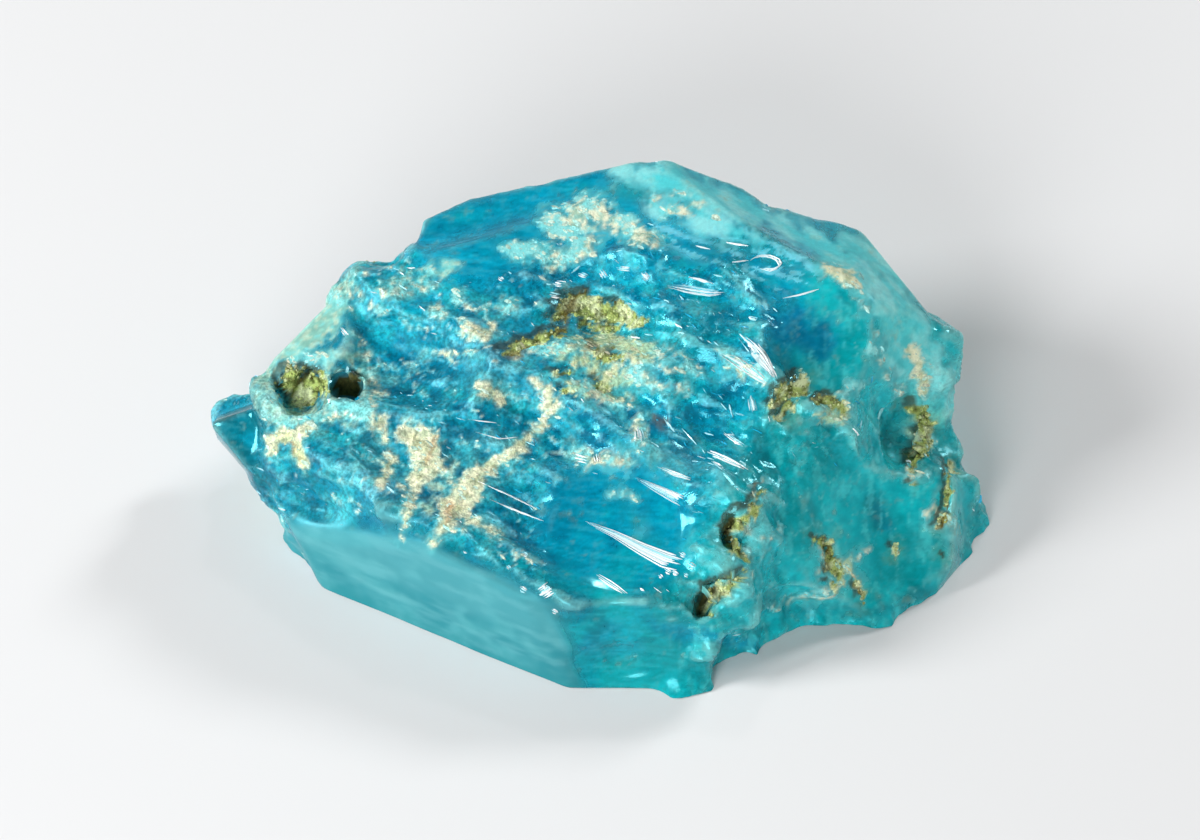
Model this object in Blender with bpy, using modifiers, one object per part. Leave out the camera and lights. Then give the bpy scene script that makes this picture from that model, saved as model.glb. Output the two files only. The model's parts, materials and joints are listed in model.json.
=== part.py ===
"""Rough blue topaz: one broken lump, lying on its flat cleavage face.

The lump is a block bounded by fracture faces, with a pointed spur at its left
end and a blunt tongue at its right end. Shell-shaped hollows, mineral pockets
and small chips are taken out of it, its surface is roughened, and the bottom
is one flat cleavage plane at z = 0.

Millimetres inside, metres in the scene. +Z up, the long axis along X, the low
front edge towards -Y, the origin under the middle of the stone.
"""

import math

import bmesh
import bpy
import numpy as np
from mathutils import Vector, noise
from mathutils.bvhtree import BVHTree

NAME = "rough_topaz"
MM = 0.001

# driving dimensions, in millimetres
ORIGIN_SHIFT = (-0.195, -1.627)  # moves the middle of the stone's box over the origin
BOTTOM = -2.0  # how deep the lump reaches before its base is cut at zero
NET = 0.3  # cell of the surface net
WEAR = 4  # smoothing passes that round the edges
SWELL, SWELL_SIZE = 0.35, 6.5  # broad unevenness: height and wavelength
RIPPLE, RIPPLE_SIZE = 0.10, 2.2
HACKLE, HACKLE_SIZE = 1.7, 3.4  # share and size of the step fractures
SPLINTER, SPLINTER_SIZE = 1.5, 1.5
TRIANGLES = 7700

# Patches that broke smooth and carry no step fractures: centre and radius.
SMOOTH = [
    ((1.0, -6.6, 6.8), 4.6),
    ((12.6, 3.1, 10.8), 3.2),
    ((-6.5, 11.8, 12.8), 4.6),
    ((0.0, 12.5, 13.6), 4.0),
    ((6.0, 11.5, 13.8), 4.0),
    ((11.5, 9.5, 13.0), 4.0),
    ((16.0, 6.5, 10.5), 4.0),
    ((14.8, 10.2, 11.0), 3.6),
    ((14.0, -4.5, 4.0), 4.4),
    ((18.5, -3.0, 2.5), 3.5),
    ((1.0, -11.8, 2.5), 4.0),
    ((-16.0, 6.0, 9.0), 3.0),
    ((-20.0, 2.2, 5.0), 2.8),
]

# Fracture faces: a point on the face, the compass direction it faces (degrees
# from +X towards +Y) and how far it looks up from the horizon.
BODY_FACES = [
    ("front_cleavage", (-7.0, -9.12, 0.0), -118, 5),
    ("slope", (-2.2, -11.5, 5.1), -102, 70),
    ("brow", (-15.1, -4.2, 4.0), -130, 36),
    ("bowl_side", (12.5, 3.2, 11.1), -62, 57),
    ("right", (15.8, -7.2, 0.0), -46, 39),
    ("lobe_front", (3.5, -12.0, 0.0), -90, 13),
    ("lobe_left", (-1.6, -12.0, 0.0), -102, 14),
    ("right_foot", (19.5, -5.6, 0.0), -36, 9),
    ("right_end", (20.5, 2.0, 4.0), 6, 7),
    ("top", (9.7, 9.1, 13.6), 38, 65),
    ("top_left", (-3.5, 10.5, 13.2), 156, 76),
    ("shoulder", (15.0, 5.0, 12.4), 16, 51),
    ("shoulder_low", (19.2, 6.0, 9.0), -24, 23),
    ("left_top", (-13.5, 5.8, 10.0), -160, 69),
    ("left_low", (-18.6, -0.1, 3.0), -151, -13),
    ("left_foot", (-17.0, -2.6, 1.0), -178, -16),
    ("back", (-2.4, 14.3, 12.7), 97, 7),
    ("back_right", (12.0, 13.1, 12.0), 76, 6),
    ("back_far_right", (18.2, 8.1, 9.4), 36, 7),
    ("back_left", (-9.0, 12.9, 12.4), 115, 6),
    ("back_far_left", (-16.8, 6.2, 8.8), 135, 9),
]
SPUR_FACES = [
    ("tip", (-21.3, 2.5, 5.5), 172, 0),
    ("upper", (-20.7, 3.3, 5.4), 119, 44),
    ("lower", (-19.9, 0.7, 4.5), -147, -19),
    ("cheek", (-20.1, 1.2, 5.9), -123, 49),
    ("under", (-20.1, 4.6, 3.0), 153, -77),
    ("rear", (-20.1, 5.2, 5.0), 102, 6),
    ("fore", (-19.3, -0.6, 5.5), -108, 6),
    ("root", (-14.0, 0.0, 5.0), 0, 0),
]
TONGUE_FACES = [
    ("tip", (20.5, -0.2, 2.1), -12, 12),
    ("upper", (20.2, -0.3, 3.3), 16, 29),
    ("lower", (20.2, -3.2, 0.2), -33, -4),
    ("cheek", (19.3, -1.7, 3.5), -71, 52),
    ("rear", (18.0, 6.0, 2.5), 84, 12),
    ("root", (14.0, 0.0, 2.5), 180, 0),
    ("under", (18.0, 0.0, -2.2), 0, -90),
    ("fore", (17.5, -6.0, 0.0), -62, 12),
]

# Round bites out of the outline: centre and radius.
BITES = [
    ("front_notch", (14.4, -16.3, 2.5), 9.2),
    ("front_notch_left", (10.6, -12.6, 1.5), 4.4),
    ("step_left", (-13.1, 12.3, 11.5), 3.3),
    ("back_bite", (4.0, 23.0, 2.0), 9.6),
    ("back_undercut", (-9.0, 18.2, -1.5), 7.4),
    ("left_undercut", (-21.5, 1.5, -1.0), 4.6),
]

# Shell-shaped hollows and pockets on the upper surface, found by looking
# straight down at (x, y): half length, half width, depth, and the bearing of
# the length in plan.
HOLLOWS = [
    ("window", 0.8, -6.6, 7.0, 3.6, 0.75, -22),
    ("bowl", 12.4, 3.1, 3.1, 3.3, 0.85, 80),
    ("crest_flute", -5.0, 11.9, 6.8, 1.5, 0.40, 12),
    ("shoulder_flute", 9.6, 11.2, 6.0, 1.8, 0.30, -30),
    ("right_rim", 17.6, 5.6, 3.2, 1.9, 0.40, -65),
    ("left_pocket", -16.4, 2.3, 1.75, 1.45, 1.3, 0),
    ("left_hole", -14.0, 2.4, 0.95, 0.7, 1.2, 15),
    ("crescent_upper", 8.0, -6.9, 1.4, 0.7, 0.9, 55),
    ("crescent_lower", 6.4, -9.8, 1.8, 0.85, 1.0, 50),
    ("mound_seat", 0.0, 5.4, 2.6, 1.5, 0.5, 0),
    ("right_pocket", 17.5, 1.6, 1.9, 0.9, 0.7, 75),
    ("twin_pocket_left", 10.8, 0.4, 1.4, 0.9, 0.6, 80),
    ("twin_pocket_right", 13.1, 0.0, 0.9, 0.8, 0.5, 10),
    ("foot_pocket", 13.0, -5.7, 1.5, 0.7, 0.5, -60),
    ("slit", 19.2, -1.6, 1.6, 0.45, 0.5, 80),
    ("lobe_hollow", 1.2, -11.6, 3.2, 1.4, 0.35, 15),
    ("right_cheek", 14.2, -3.2, 4.4, 3.0, 0.45, -50),
    ("left_slope", -11.0, 4.7, 4.4, 2.8, 0.40, 30),
    ("middle_slope", 4.0, -1.0, 5.0, 2.2, 0.50, -25),
    ("upper_slope", 7.6, 6.2, 4.6, 2.0, 0.45, -12),
    ("low_left", -13.0, -1.8, 3.6, 1.8, 0.40, -20),
]

# The same on the flanks: a point near the flank, and the compass direction
# from which the flank is looked at.
FLANK_HOLLOWS = [
    ("back_shell", (-1.0, 14.0, 8.0), 95, 6.5, 3.6, 0.8, 5),
    ("back_shell_right", (12.0, 11.0, 6.0), 62, 5.0, 3.4, 0.7, -30),
    ("back_shell_left", (-12.5, 10.0, 5.5), 120, 4.4, 3.0, 0.6, 40),
    ("back_pocket", (5.5, 14.0, 9.5), 85, 1.3, 0.8, 0.8, 25),
    ("right_shell", (20.0, 5.0, 5.0), 15, 3.2, 2.0, 0.5, 90),
]


def direction(compass, lift):
    a, e = math.radians(compass), math.radians(lift)
    return Vector((math.cos(a) * math.cos(e), math.sin(a) * math.cos(e), math.sin(e)))


def block(name, faces, bottom=BOTTOM):
    """A convex lump: a cube with everything outside each face cut away."""
    bm = bmesh.new()
    bmesh.ops.create_cube(bm, size=120.0)
    cuts = [(Vector(p), direction(c, e)) for _, p, c, e in faces]
    if bottom is not None:
        cuts.append((Vector((0, 0, bottom)), Vector((0, 0, -1))))
    for point, normal in cuts:
        geom = bm.verts[:] + bm.edges[:] + bm.faces[:]
        made = bmesh.ops.bisect_plane(
            bm, geom=geom, dist=1e-4, plane_co=point, plane_no=normal, clear_outer=True
        )
        rim = [e for e in made["geom_cut"] if isinstance(e, bmesh.types.BMEdge)]
        if rim:
            bmesh.ops.holes_fill(bm, edges=rim)
    bmesh.ops.recalc_face_normals(bm, faces=bm.faces[:])
    mesh = bpy.data.meshes.new(name)
    bm.to_mesh(mesh)
    bm.free()
    return bpy.data.objects.new(name, mesh)


def ball(name, centre, radii, axes=None):
    """An ellipsoid cutter. axes holds its three directions."""
    bm = bmesh.new()
    bmesh.ops.create_icosphere(bm, subdivisions=4, radius=1.0)
    axes = axes or (Vector((1, 0, 0)), Vector((0, 1, 0)), Vector((0, 0, 1)))
    for v in bm.verts:
        c = v.co.copy()
        v.co = Vector(centre) + sum(
            (axes[i] * (c[i] * radii[i]) for i in range(3)), Vector()
        )
    mesh = bpy.data.meshes.new(name)
    bm.to_mesh(mesh)
    bm.free()
    return bpy.data.objects.new(name, mesh)


def hollow(name, point, normal, half_length, half_width, depth, bearing):
    """An ellipsoid that leaves a hollow of this opening and depth."""
    along = direction(bearing, 0)
    along = (along - normal * along.dot(normal)).normalized()
    across = normal.cross(along)
    rise = max(2.5 * depth, 0.5 * half_width)
    share = math.sqrt(1 - ((rise - depth) / rise) ** 2)
    return ball(
        name,
        point + normal * (rise - depth),
        (half_length / share, half_width / share, rise),
        (along, across, normal),
    )


def topaz():
    material = bpy.data.materials.new("topaz")
    material.use_nodes = True
    shader = material.node_tree.nodes["Principled BSDF"]
    shader.inputs["Base Color"].default_value = (0.02, 0.36, 0.52, 1.0)
    shader.inputs["Roughness"].default_value = 0.3
    shader.inputs["Metallic"].default_value = 0.0
    shader.inputs["IOR"].default_value = 1.62
    return material


def evaluated_copy(obj, name):
    graph = bpy.context.evaluated_depsgraph_get()
    return bpy.data.meshes.new_from_object(obj.evaluated_get(graph))


def surface_tree(obj):
    graph = bpy.context.evaluated_depsgraph_get()
    return BVHTree.FromObject(obj, graph)


def smoothstep(x, a, b):
    t = np.clip((x - a) / (b - a), 0, 1)
    return t * t * (3 - 2 * t)


def noise_at(points, size, seed):
    """Gradient noise of this wavelength at each point, from -1 to 1."""
    shift = Vector((seed * 17.3, seed * 5.1, seed * 9.7))
    return np.array([noise.noise(Vector(p) / size + shift) for p in points])


def fractures(points, size, seed, tilt, bowl, stretch=(1, 1, 1), turn=0.0):
    """Steps between shallow, tilted scoops, one to a cell of this size.

    Each cell of a jittered lattice holds the middle of a scoop; a point takes
    the lowest scoop above it, so the scoops meet in ridges. The heights have a
    mean of zero, so the stone keeps its size.
    """
    c, s = math.cos(turn), math.sin(turn)
    spin = np.array([[c, s, 0], [-s, c, 0], [0, 0, 1]])
    p = (points @ spin.T) / (np.array(stretch) * size)
    home = np.floor(p).astype(int)
    side = 24
    table = np.random.RandomState(seed).uniform(-1, 1, size=(side, side, side, 7))
    low = np.full(len(p), 9.0)
    steps = range(-2, 3)
    for step in ((i, j, k) for i in steps for j in steps for k in steps):
        cell = home + step
        draw = table[tuple((cell % side).T)]
        away = p - (cell + 0.5 + 0.42 * draw[:, 0:3])
        height = 0.10 * draw[:, 6] + tilt * np.einsum("ij,ij->i", away, draw[:, 3:6])
        low = np.minimum(low, height + bowl * np.einsum("ij,ij->i", away, away))
    return (low - low.mean()) * size


def wear(mesh, passes, factor):
    """Rounds the edges by moving each point towards its neighbours."""
    bm = bmesh.new()
    bm.from_mesh(mesh)
    axes = dict(use_axis_x=True, use_axis_y=True, use_axis_z=True)
    for _ in range(passes):
        bmesh.ops.smooth_vert(bm, verts=bm.verts[:], factor=factor, **axes)
    bm.to_mesh(mesh)
    bm.free()


def roughness(points):
    """How hackly the stone is at each point: 0 on smooth faces, 1 elsewhere."""
    rough = np.ones(len(points))
    for centre, radius in SMOOTH:
        far = np.linalg.norm(points - np.array(centre), axis=1)
        rough *= smoothstep(far, 0.75 * radius, 1.15 * radius)
    facing = np.array(direction(-118, 5))
    off = np.abs((points - (-7.0, -9.12, 0.0)) @ facing)
    return rough * smoothstep(off, 0.3, 1.1)


def main():
    for obj in list(bpy.data.objects):
        bpy.data.objects.remove(obj)
    stone = bpy.data.collections.new(NAME)
    cutters = bpy.data.collections.new("cutters")
    bpy.context.scene.collection.children.link(stone)
    bpy.context.scene.collection.children.link(cutters)

    body = block("rough_block", BODY_FACES)
    cutters.objects.link(body)
    for name, faces in (("spur_block", SPUR_FACES), ("tongue_block", TONGUE_FACES)):
        piece = block(name, faces, None if name == "spur_block" else BOTTOM)
        cutters.objects.link(piece)
        union = body.modifiers.new(name, "BOOLEAN")
        union.operation, union.object = "UNION", piece
    for name, centre, radius in BITES:
        piece = ball(name, centre, (radius,) * 3)
        cutters.objects.link(piece)
        cut = body.modifiers.new(name, "BOOLEAN")
        cut.operation, cut.object = "DIFFERENCE", piece
    tree = surface_tree(body)
    for name, x, y, half_length, half_width, depth, bearing in HOLLOWS:
        point, normal, _, _ = tree.ray_cast(Vector((x, y, 60)), Vector((0, 0, -1)))
        piece = hollow(name, point, normal, half_length, half_width, depth, bearing)
        cutters.objects.link(piece)
        cut = body.modifiers.new(name, "BOOLEAN")
        cut.operation, cut.object = "DIFFERENCE", piece
    for name, aim, compass, half_length, half_width, depth, tilt in FLANK_HOLLOWS:
        look = direction(compass, 0)
        point, normal, _, _ = tree.ray_cast(Vector(aim) + look * 60, -look)
        piece = hollow(name, point, normal, half_length, half_width, depth, tilt)
        cutters.objects.link(piece)
        cut = body.modifiers.new(name, "BOOLEAN")
        cut.operation, cut.object = "DIFFERENCE", piece
    carved = surface_tree(body)
    net = body.modifiers.new("net", "REMESH")
    net.mode, net.voxel_size, net.adaptivity = "VOXEL", NET, 0.0
    mesh = evaluated_copy(body, NAME)
    for v in mesh.vertices:  # the net's points go back onto the carved faces
        v.co = carved.find_nearest(v.co)[0]

    wear(mesh, WEAR, 0.5)

    count = len(mesh.vertices)
    points, normals = np.empty(count * 3), np.empty(count * 3)
    mesh.vertices.foreach_get("co", points)
    mesh.vertex_normals.foreach_get("vector", normals)
    points, normals = points.reshape(-1, 3), normals.reshape(-1, 3)
    rough = roughness(points)
    heave = SWELL * noise_at(points, SWELL_SIZE, 1)
    heave += RIPPLE * noise_at(points, RIPPLE_SIZE, 2)
    heave *= 0.25 + 0.75 * rough
    heave += HACKLE * rough * fractures(
        points, HACKLE_SIZE, 5, 0.36, 0.24, (1.7, 1, 1), math.radians(-35)
    )
    heave += SPLINTER * rough * fractures(
        points, SPLINTER_SIZE, 8, 0.27, 0.20, (2.2, 1, 1), math.radians(-20)
    )
    points += normals * heave[:, None]
    mesh.vertices.foreach_set("co", points.astype(np.float32).ravel())
    wear(mesh, 1, 0.4)
    mesh.vertices.foreach_get("co", points.ravel())
    points[:, 0] += ORIGIN_SHIFT[0]
    points[:, 1] += ORIGIN_SHIFT[1]
    mesh.vertices.foreach_set("co", (points * MM).astype(np.float32).ravel())
    mesh.update()

    shape = bpy.data.objects.new(NAME, mesh)
    stone.objects.link(shape)
    thin = shape.modifiers.new("thin", "DECIMATE")
    mesh.calc_loop_triangles()
    thin.ratio = TRIANGLES / len(mesh.loop_triangles)
    mesh = evaluated_copy(shape, NAME)
    shape.modifiers.clear()
    shape.data = mesh
    bm = bmesh.new()
    bm.from_mesh(mesh)
    made = bmesh.ops.bisect_plane(
        bm,
        geom=bm.verts[:] + bm.edges[:] + bm.faces[:],
        dist=1e-6,
        plane_co=(0, 0, 0),
        plane_no=(0, 0, -1),
        clear_outer=True,
    )
    rim = [e for e in made["geom_cut"] if isinstance(e, bmesh.types.BMEdge)]
    bmesh.ops.holes_fill(bm, edges=rim)
    bmesh.ops.recalc_face_normals(bm, faces=bm.faces[:])
    bm.to_mesh(mesh)
    bm.free()
    mesh.shade_smooth()
    mesh.set_sharp_from_angle(angle=math.radians(30))
    mesh.materials.append(topaz())
    for helper in cutters.objects:
        helper.hide_render = True
        helper.display_type = "WIRE"
    return shape


if __name__ == "__main__":
    main()
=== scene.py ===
import json
import math

import bmesh
import bpy
import numpy as np
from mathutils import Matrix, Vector, noise
from mathutils.bvhtree import BVHTree

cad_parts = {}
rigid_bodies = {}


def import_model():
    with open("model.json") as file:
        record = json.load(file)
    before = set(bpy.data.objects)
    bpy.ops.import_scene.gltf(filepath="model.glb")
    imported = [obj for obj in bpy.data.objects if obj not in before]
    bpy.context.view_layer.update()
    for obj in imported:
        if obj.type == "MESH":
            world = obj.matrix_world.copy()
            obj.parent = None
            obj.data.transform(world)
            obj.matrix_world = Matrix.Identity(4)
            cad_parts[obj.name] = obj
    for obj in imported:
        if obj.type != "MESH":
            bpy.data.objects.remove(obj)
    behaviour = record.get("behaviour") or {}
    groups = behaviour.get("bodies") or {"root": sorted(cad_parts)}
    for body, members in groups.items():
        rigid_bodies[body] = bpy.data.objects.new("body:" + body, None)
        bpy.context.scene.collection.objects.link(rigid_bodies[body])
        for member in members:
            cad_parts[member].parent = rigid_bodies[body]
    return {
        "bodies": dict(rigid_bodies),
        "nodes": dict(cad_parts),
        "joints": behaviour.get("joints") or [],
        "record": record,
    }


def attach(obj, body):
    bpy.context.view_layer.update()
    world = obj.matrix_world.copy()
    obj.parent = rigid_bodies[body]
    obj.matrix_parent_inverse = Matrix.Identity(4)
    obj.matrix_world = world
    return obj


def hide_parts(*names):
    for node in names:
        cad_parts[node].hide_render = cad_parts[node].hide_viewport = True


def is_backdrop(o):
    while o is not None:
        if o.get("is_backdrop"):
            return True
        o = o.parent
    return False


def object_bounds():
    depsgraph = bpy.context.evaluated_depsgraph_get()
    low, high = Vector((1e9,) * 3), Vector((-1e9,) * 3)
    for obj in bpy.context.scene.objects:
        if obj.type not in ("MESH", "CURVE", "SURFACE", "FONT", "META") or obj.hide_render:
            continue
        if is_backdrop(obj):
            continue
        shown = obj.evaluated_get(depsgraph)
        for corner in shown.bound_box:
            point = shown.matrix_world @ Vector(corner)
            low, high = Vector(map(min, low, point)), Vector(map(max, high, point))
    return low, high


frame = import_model()
CAD_LOW, CAD_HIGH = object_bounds()

# ---------------------------------------------------------------------------
# The stone's construction, in millimetres: the same fracture faces, bites and
# hollows as the solid that it replaces, on a finer net.
# ---------------------------------------------------------------------------
MM = 0.001
ORIGIN_SHIFT = (-0.195, -1.627)
BOTTOM = -2.0
NET = 0.172
SWELL, SWELL_SIZE = 0.35, 6.5
RIPPLE, RIPPLE_SIZE = 0.10, 2.2
HACKLE, HACKLE_SIZE = 1.7, 3.4
SPLINTER, SPLINTER_SIZE = 1.5, 1.5
CHIP, CHIP_SIZE = 1.0, 0.85
GRIT, GRIT_SIZE = 0.9, 0.42

SMOOTH = [
    ((1.0, -6.6, 6.8), 4.6),
    ((12.6, 3.1, 10.8), 3.2),
    ((-6.5, 11.8, 12.8), 4.6),
    ((0.0, 12.5, 13.6), 4.0),
    ((6.0, 11.5, 13.8), 4.0),
    ((11.5, 9.5, 13.0), 4.0),
    ((16.0, 6.5, 10.5), 4.0),
    ((14.8, 10.2, 11.0), 3.6),
    ((14.0, -4.5, 4.0), 4.4),
    ((18.5, -3.0, 2.5), 3.5),
    ((1.0, -11.8, 2.5), 4.0),
    ((-16.0, 6.0, 9.0), 3.0),
    ((-20.0, 2.2, 5.0), 2.8),
]

# Fracture faces: a point, the compass direction it faces and its lift.
BODY_FACES = [
    ("front_cleavage", (-7.0, -9.12, 0.0), -118, 5),
    ("slope", (-2.2, -11.5, 5.1), -102, 70),
    ("brow", (-15.1, -4.2, 4.0), -130, 36),
    ("bowl_side", (12.5, 3.2, 11.1), -62, 57),
    ("right", (15.8, -7.2, 0.0), -46, 39),
    ("lobe_front", (3.5, -12.0, 0.0), -90, 13),
    ("lobe_left", (-1.6, -12.0, 0.0), -102, 14),
    ("right_foot", (19.5, -5.6, 0.0), -36, 9),
    ("right_end", (20.5, 2.0, 4.0), 6, 7),
    ("top", (9.7, 9.1, 13.6), 38, 65),
    ("top_left", (-3.5, 10.5, 13.2), 156, 76),
    ("shoulder", (15.0, 5.0, 12.4), 16, 51),
    ("shoulder_low", (19.2, 6.0, 9.0), -24, 23),
    ("left_top", (-13.5, 5.8, 10.0), -160, 69),
    ("left_low", (-18.6, -0.1, 3.0), -151, -13),
    ("left_foot", (-17.0, -2.6, 1.0), -178, -16),
    ("back", (-2.4, 14.3, 12.7), 97, 7),
    ("back_right", (12.0, 13.1, 12.0), 76, 6),
    ("back_far_right", (18.2, 8.1, 9.4), 36, 7),
    ("back_left", (-9.0, 12.9, 12.4), 115, 6),
    ("back_far_left", (-16.8, 6.2, 8.8), 135, 9),
]
SPUR_FACES = [
    ("tip", (-21.3, 2.5, 5.5), 172, 0),
    ("upper", (-20.7, 3.3, 5.4), 119, 44),
    ("lower", (-19.9, 0.7, 4.5), -147, -19),
    ("cheek", (-20.1, 1.2, 5.9), -123, 49),
    ("under", (-20.1, 4.6, 3.0), 153, -77),
    ("rear", (-20.1, 5.2, 5.0), 102, 6),
    ("fore", (-19.3, -0.6, 5.5), -108, 6),
    ("root", (-14.0, 0.0, 5.0), 0, 0),
]
TONGUE_FACES = [
    ("tip", (20.5, -0.2, 2.1), -12, 12),
    ("upper", (20.2, -0.3, 3.3), 16, 29),
    ("lower", (20.2, -3.2, 0.2), -33, -4),
    ("cheek", (19.3, -1.7, 3.5), -71, 52),
    ("rear", (18.0, 6.0, 2.5), 84, 12),
    ("root", (14.0, 0.0, 2.5), 180, 0),
    ("under", (18.0, 0.0, -2.2), 0, -90),
    ("fore", (17.5, -6.0, 0.0), -62, 12),
]

# Round bites out of the outline: centre and radius.
BITES = [
    ("front_notch", (14.4, -16.3, 2.5), 9.2),
    ("front_notch_left", (10.6, -12.6, 1.5), 4.4),
    ("step_left", (-13.1, 12.3, 11.5), 3.3),
    ("back_bite", (4.0, 23.0, 2.0), 9.6),
    ("back_undercut", (-9.0, 18.2, -1.5), 7.4),
    ("left_undercut", (-21.5, 1.5, -1.0), 4.6),
]

# Shell-shaped hollows and pockets on the upper surface, found by looking
# straight down at (x, y): half length, half width, depth, and the bearing of
# the length in plan.
HOLLOWS = [
    ("window", 0.8, -6.6, 7.0, 3.6, 0.75, -22),
    ("bowl", 12.4, 3.1, 3.1, 3.3, 0.85, 80),
    ("crest_flute", -5.0, 11.9, 6.8, 1.5, 0.40, 12),
    ("shoulder_flute", 9.6, 11.2, 6.0, 1.8, 0.30, -30),
    ("right_rim", 17.6, 5.6, 3.2, 1.9, 0.40, -65),
    ("left_pocket", -16.4, 2.3, 1.75, 1.45, 1.3, 0),
    ("left_hole", -14.0, 2.4, 0.95, 0.7, 1.2, 15),
    ("crescent_upper", 8.0, -6.9, 1.4, 0.7, 0.9, 55),
    ("crescent_lower", 6.4, -9.8, 1.8, 0.85, 1.0, 50),
    ("mound_seat", 0.0, 5.4, 2.6, 1.5, 0.5, 0),
    ("right_pocket", 17.5, 1.6, 1.9, 0.9, 0.7, 75),
    ("twin_pocket_left", 10.8, 0.4, 1.4, 0.9, 0.6, 80),
    ("twin_pocket_right", 13.1, 0.0, 0.9, 0.8, 0.5, 10),
    ("foot_pocket", 13.0, -5.7, 1.5, 0.7, 0.5, -60),
    ("slit", 19.2, -1.6, 1.6, 0.45, 0.5, 80),
    ("lobe_hollow", 1.2, -11.6, 3.2, 1.4, 0.35, 15),
    ("right_cheek", 14.2, -3.2, 4.4, 3.0, 0.45, -50),
    ("left_slope", -11.0, 4.7, 4.4, 2.8, 0.40, 30),
    ("middle_slope", 4.0, -1.0, 5.0, 2.2, 0.50, -25),
    ("upper_slope", 7.6, 6.2, 4.6, 2.0, 0.45, -12),
    ("low_left", -13.0, -1.8, 3.6, 1.8, 0.40, -20),
]

# The same on the flanks: a point near the flank, and the compass direction
# from which the flank is looked at.
FLANK_HOLLOWS = [
    ("back_shell", (-1.0, 14.0, 8.0), 95, 6.5, 3.6, 0.8, 5),
    ("back_shell_right", (12.0, 11.0, 6.0), 62, 5.0, 3.4, 0.7, -30),
    ("back_shell_left", (-12.5, 10.0, 5.5), 120, 4.4, 3.0, 0.6, 40),
    ("back_pocket", (5.5, 14.0, 9.5), 85, 1.3, 0.8, 0.8, 25),
    ("right_shell", (20.0, 5.0, 5.0), 15, 3.2, 2.0, 0.5, 90),
]


def direction(compass, lift):
    a, e = math.radians(compass), math.radians(lift)
    return Vector((math.cos(a) * math.cos(e), math.sin(a) * math.cos(e), math.sin(e)))


def block(name, faces, bottom=BOTTOM):
    """A convex lump: a cube with everything outside each face cut away."""
    bm = bmesh.new()
    bmesh.ops.create_cube(bm, size=120.0)
    cuts = [(Vector(p), direction(c, e)) for _, p, c, e in faces]
    if bottom is not None:
        cuts.append((Vector((0, 0, bottom)), Vector((0, 0, -1))))
    for point, normal in cuts:
        geom = bm.verts[:] + bm.edges[:] + bm.faces[:]
        made = bmesh.ops.bisect_plane(
            bm, geom=geom, dist=1e-4, plane_co=point, plane_no=normal, clear_outer=True
        )
        rim = [e for e in made["geom_cut"] if isinstance(e, bmesh.types.BMEdge)]
        if rim:
            bmesh.ops.holes_fill(bm, edges=rim)
    bmesh.ops.recalc_face_normals(bm, faces=bm.faces[:])
    mesh = bpy.data.meshes.new(name)
    bm.to_mesh(mesh)
    bm.free()
    return bpy.data.objects.new(name, mesh)


def ball(name, centre, radii, axes=None):
    """An ellipsoid cutter. axes holds its three directions."""
    bm = bmesh.new()
    bmesh.ops.create_icosphere(bm, subdivisions=4, radius=1.0)
    axes = axes or (Vector((1, 0, 0)), Vector((0, 1, 0)), Vector((0, 0, 1)))
    for v in bm.verts:
        c = v.co.copy()
        v.co = Vector(centre) + sum(
            (axes[i] * (c[i] * radii[i]) for i in range(3)), Vector()
        )
    mesh = bpy.data.meshes.new(name)
    bm.to_mesh(mesh)
    bm.free()
    return bpy.data.objects.new(name, mesh)


def hollow(name, point, normal, half_length, half_width, depth, bearing):
    """An ellipsoid that leaves a hollow of this opening and depth."""
    along = direction(bearing, 0)
    along = (along - normal * along.dot(normal)).normalized()
    across = normal.cross(along)
    rise = max(2.5 * depth, 0.5 * half_width)
    share = math.sqrt(1 - ((rise - depth) / rise) ** 2)
    return ball(
        name,
        point + normal * (rise - depth),
        (half_length / share, half_width / share, rise),
        (along, across, normal),
    )


def evaluated_copy(obj, name):
    graph = bpy.context.evaluated_depsgraph_get()
    return bpy.data.meshes.new_from_object(obj.evaluated_get(graph))


def surface_tree(obj):
    graph = bpy.context.evaluated_depsgraph_get()
    return BVHTree.FromObject(obj, graph)


def smoothstep(x, a, b):
    t = np.clip((x - a) / (b - a), 0, 1)
    return t * t * (3 - 2 * t)


def noise_at(points, size, seed):
    """Gradient noise of this wavelength at each point, from -1 to 1."""
    shift = Vector((seed * 17.3, seed * 5.1, seed * 9.7))
    return np.array([noise.noise(Vector(p) / size + shift) for p in points])


def fractures(points, size, seed, tilt, bowl, stretch=(1, 1, 1), turn=0.0):
    """Steps between shallow, tilted scoops, one to a cell of this size.

    Each cell of a jittered lattice holds the middle of a scoop; a point takes
    the lowest scoop above it, so the scoops meet in ridges. The heights have a
    mean of zero, so the stone keeps its size. Also gives each scoop's tone,
    from 0 to 1, and how near its points are to a ridge.
    """
    c, s = math.cos(turn), math.sin(turn)
    spin = np.array([[c, s, 0], [-s, c, 0], [0, 0, 1]])
    p = (points @ spin.T) / (np.array(stretch) * size)
    home = np.floor(p).astype(int)
    side = 24
    table = np.random.RandomState(seed).uniform(-1, 1, size=(side, side, side, 7))
    low = np.full(len(p), 9.0)
    second = np.full(len(p), 9.0)
    tone = np.zeros(len(p))
    steps = range(-2, 3)
    for step in ((i, j, k) for i in steps for j in steps for k in steps):
        cell = home + step
        draw = table[tuple((cell % side).T)]
        away = p - (cell + 0.5 + 0.42 * draw[:, 0:3])
        height = 0.10 * draw[:, 6] + tilt * np.einsum("ij,ij->i", away, draw[:, 3:6])
        height += bowl * np.einsum("ij,ij->i", away, away)
        first = height < low
        second = np.where(first, low, np.minimum(second, height))
        tone = np.where(first, 0.5 + 0.5 * draw[:, 5], tone)
        low = np.minimum(low, height)
    ridge = 1 - smoothstep(second - low, 0.0, 0.10)
    return (low - low.mean()) * size, tone, ridge


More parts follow.
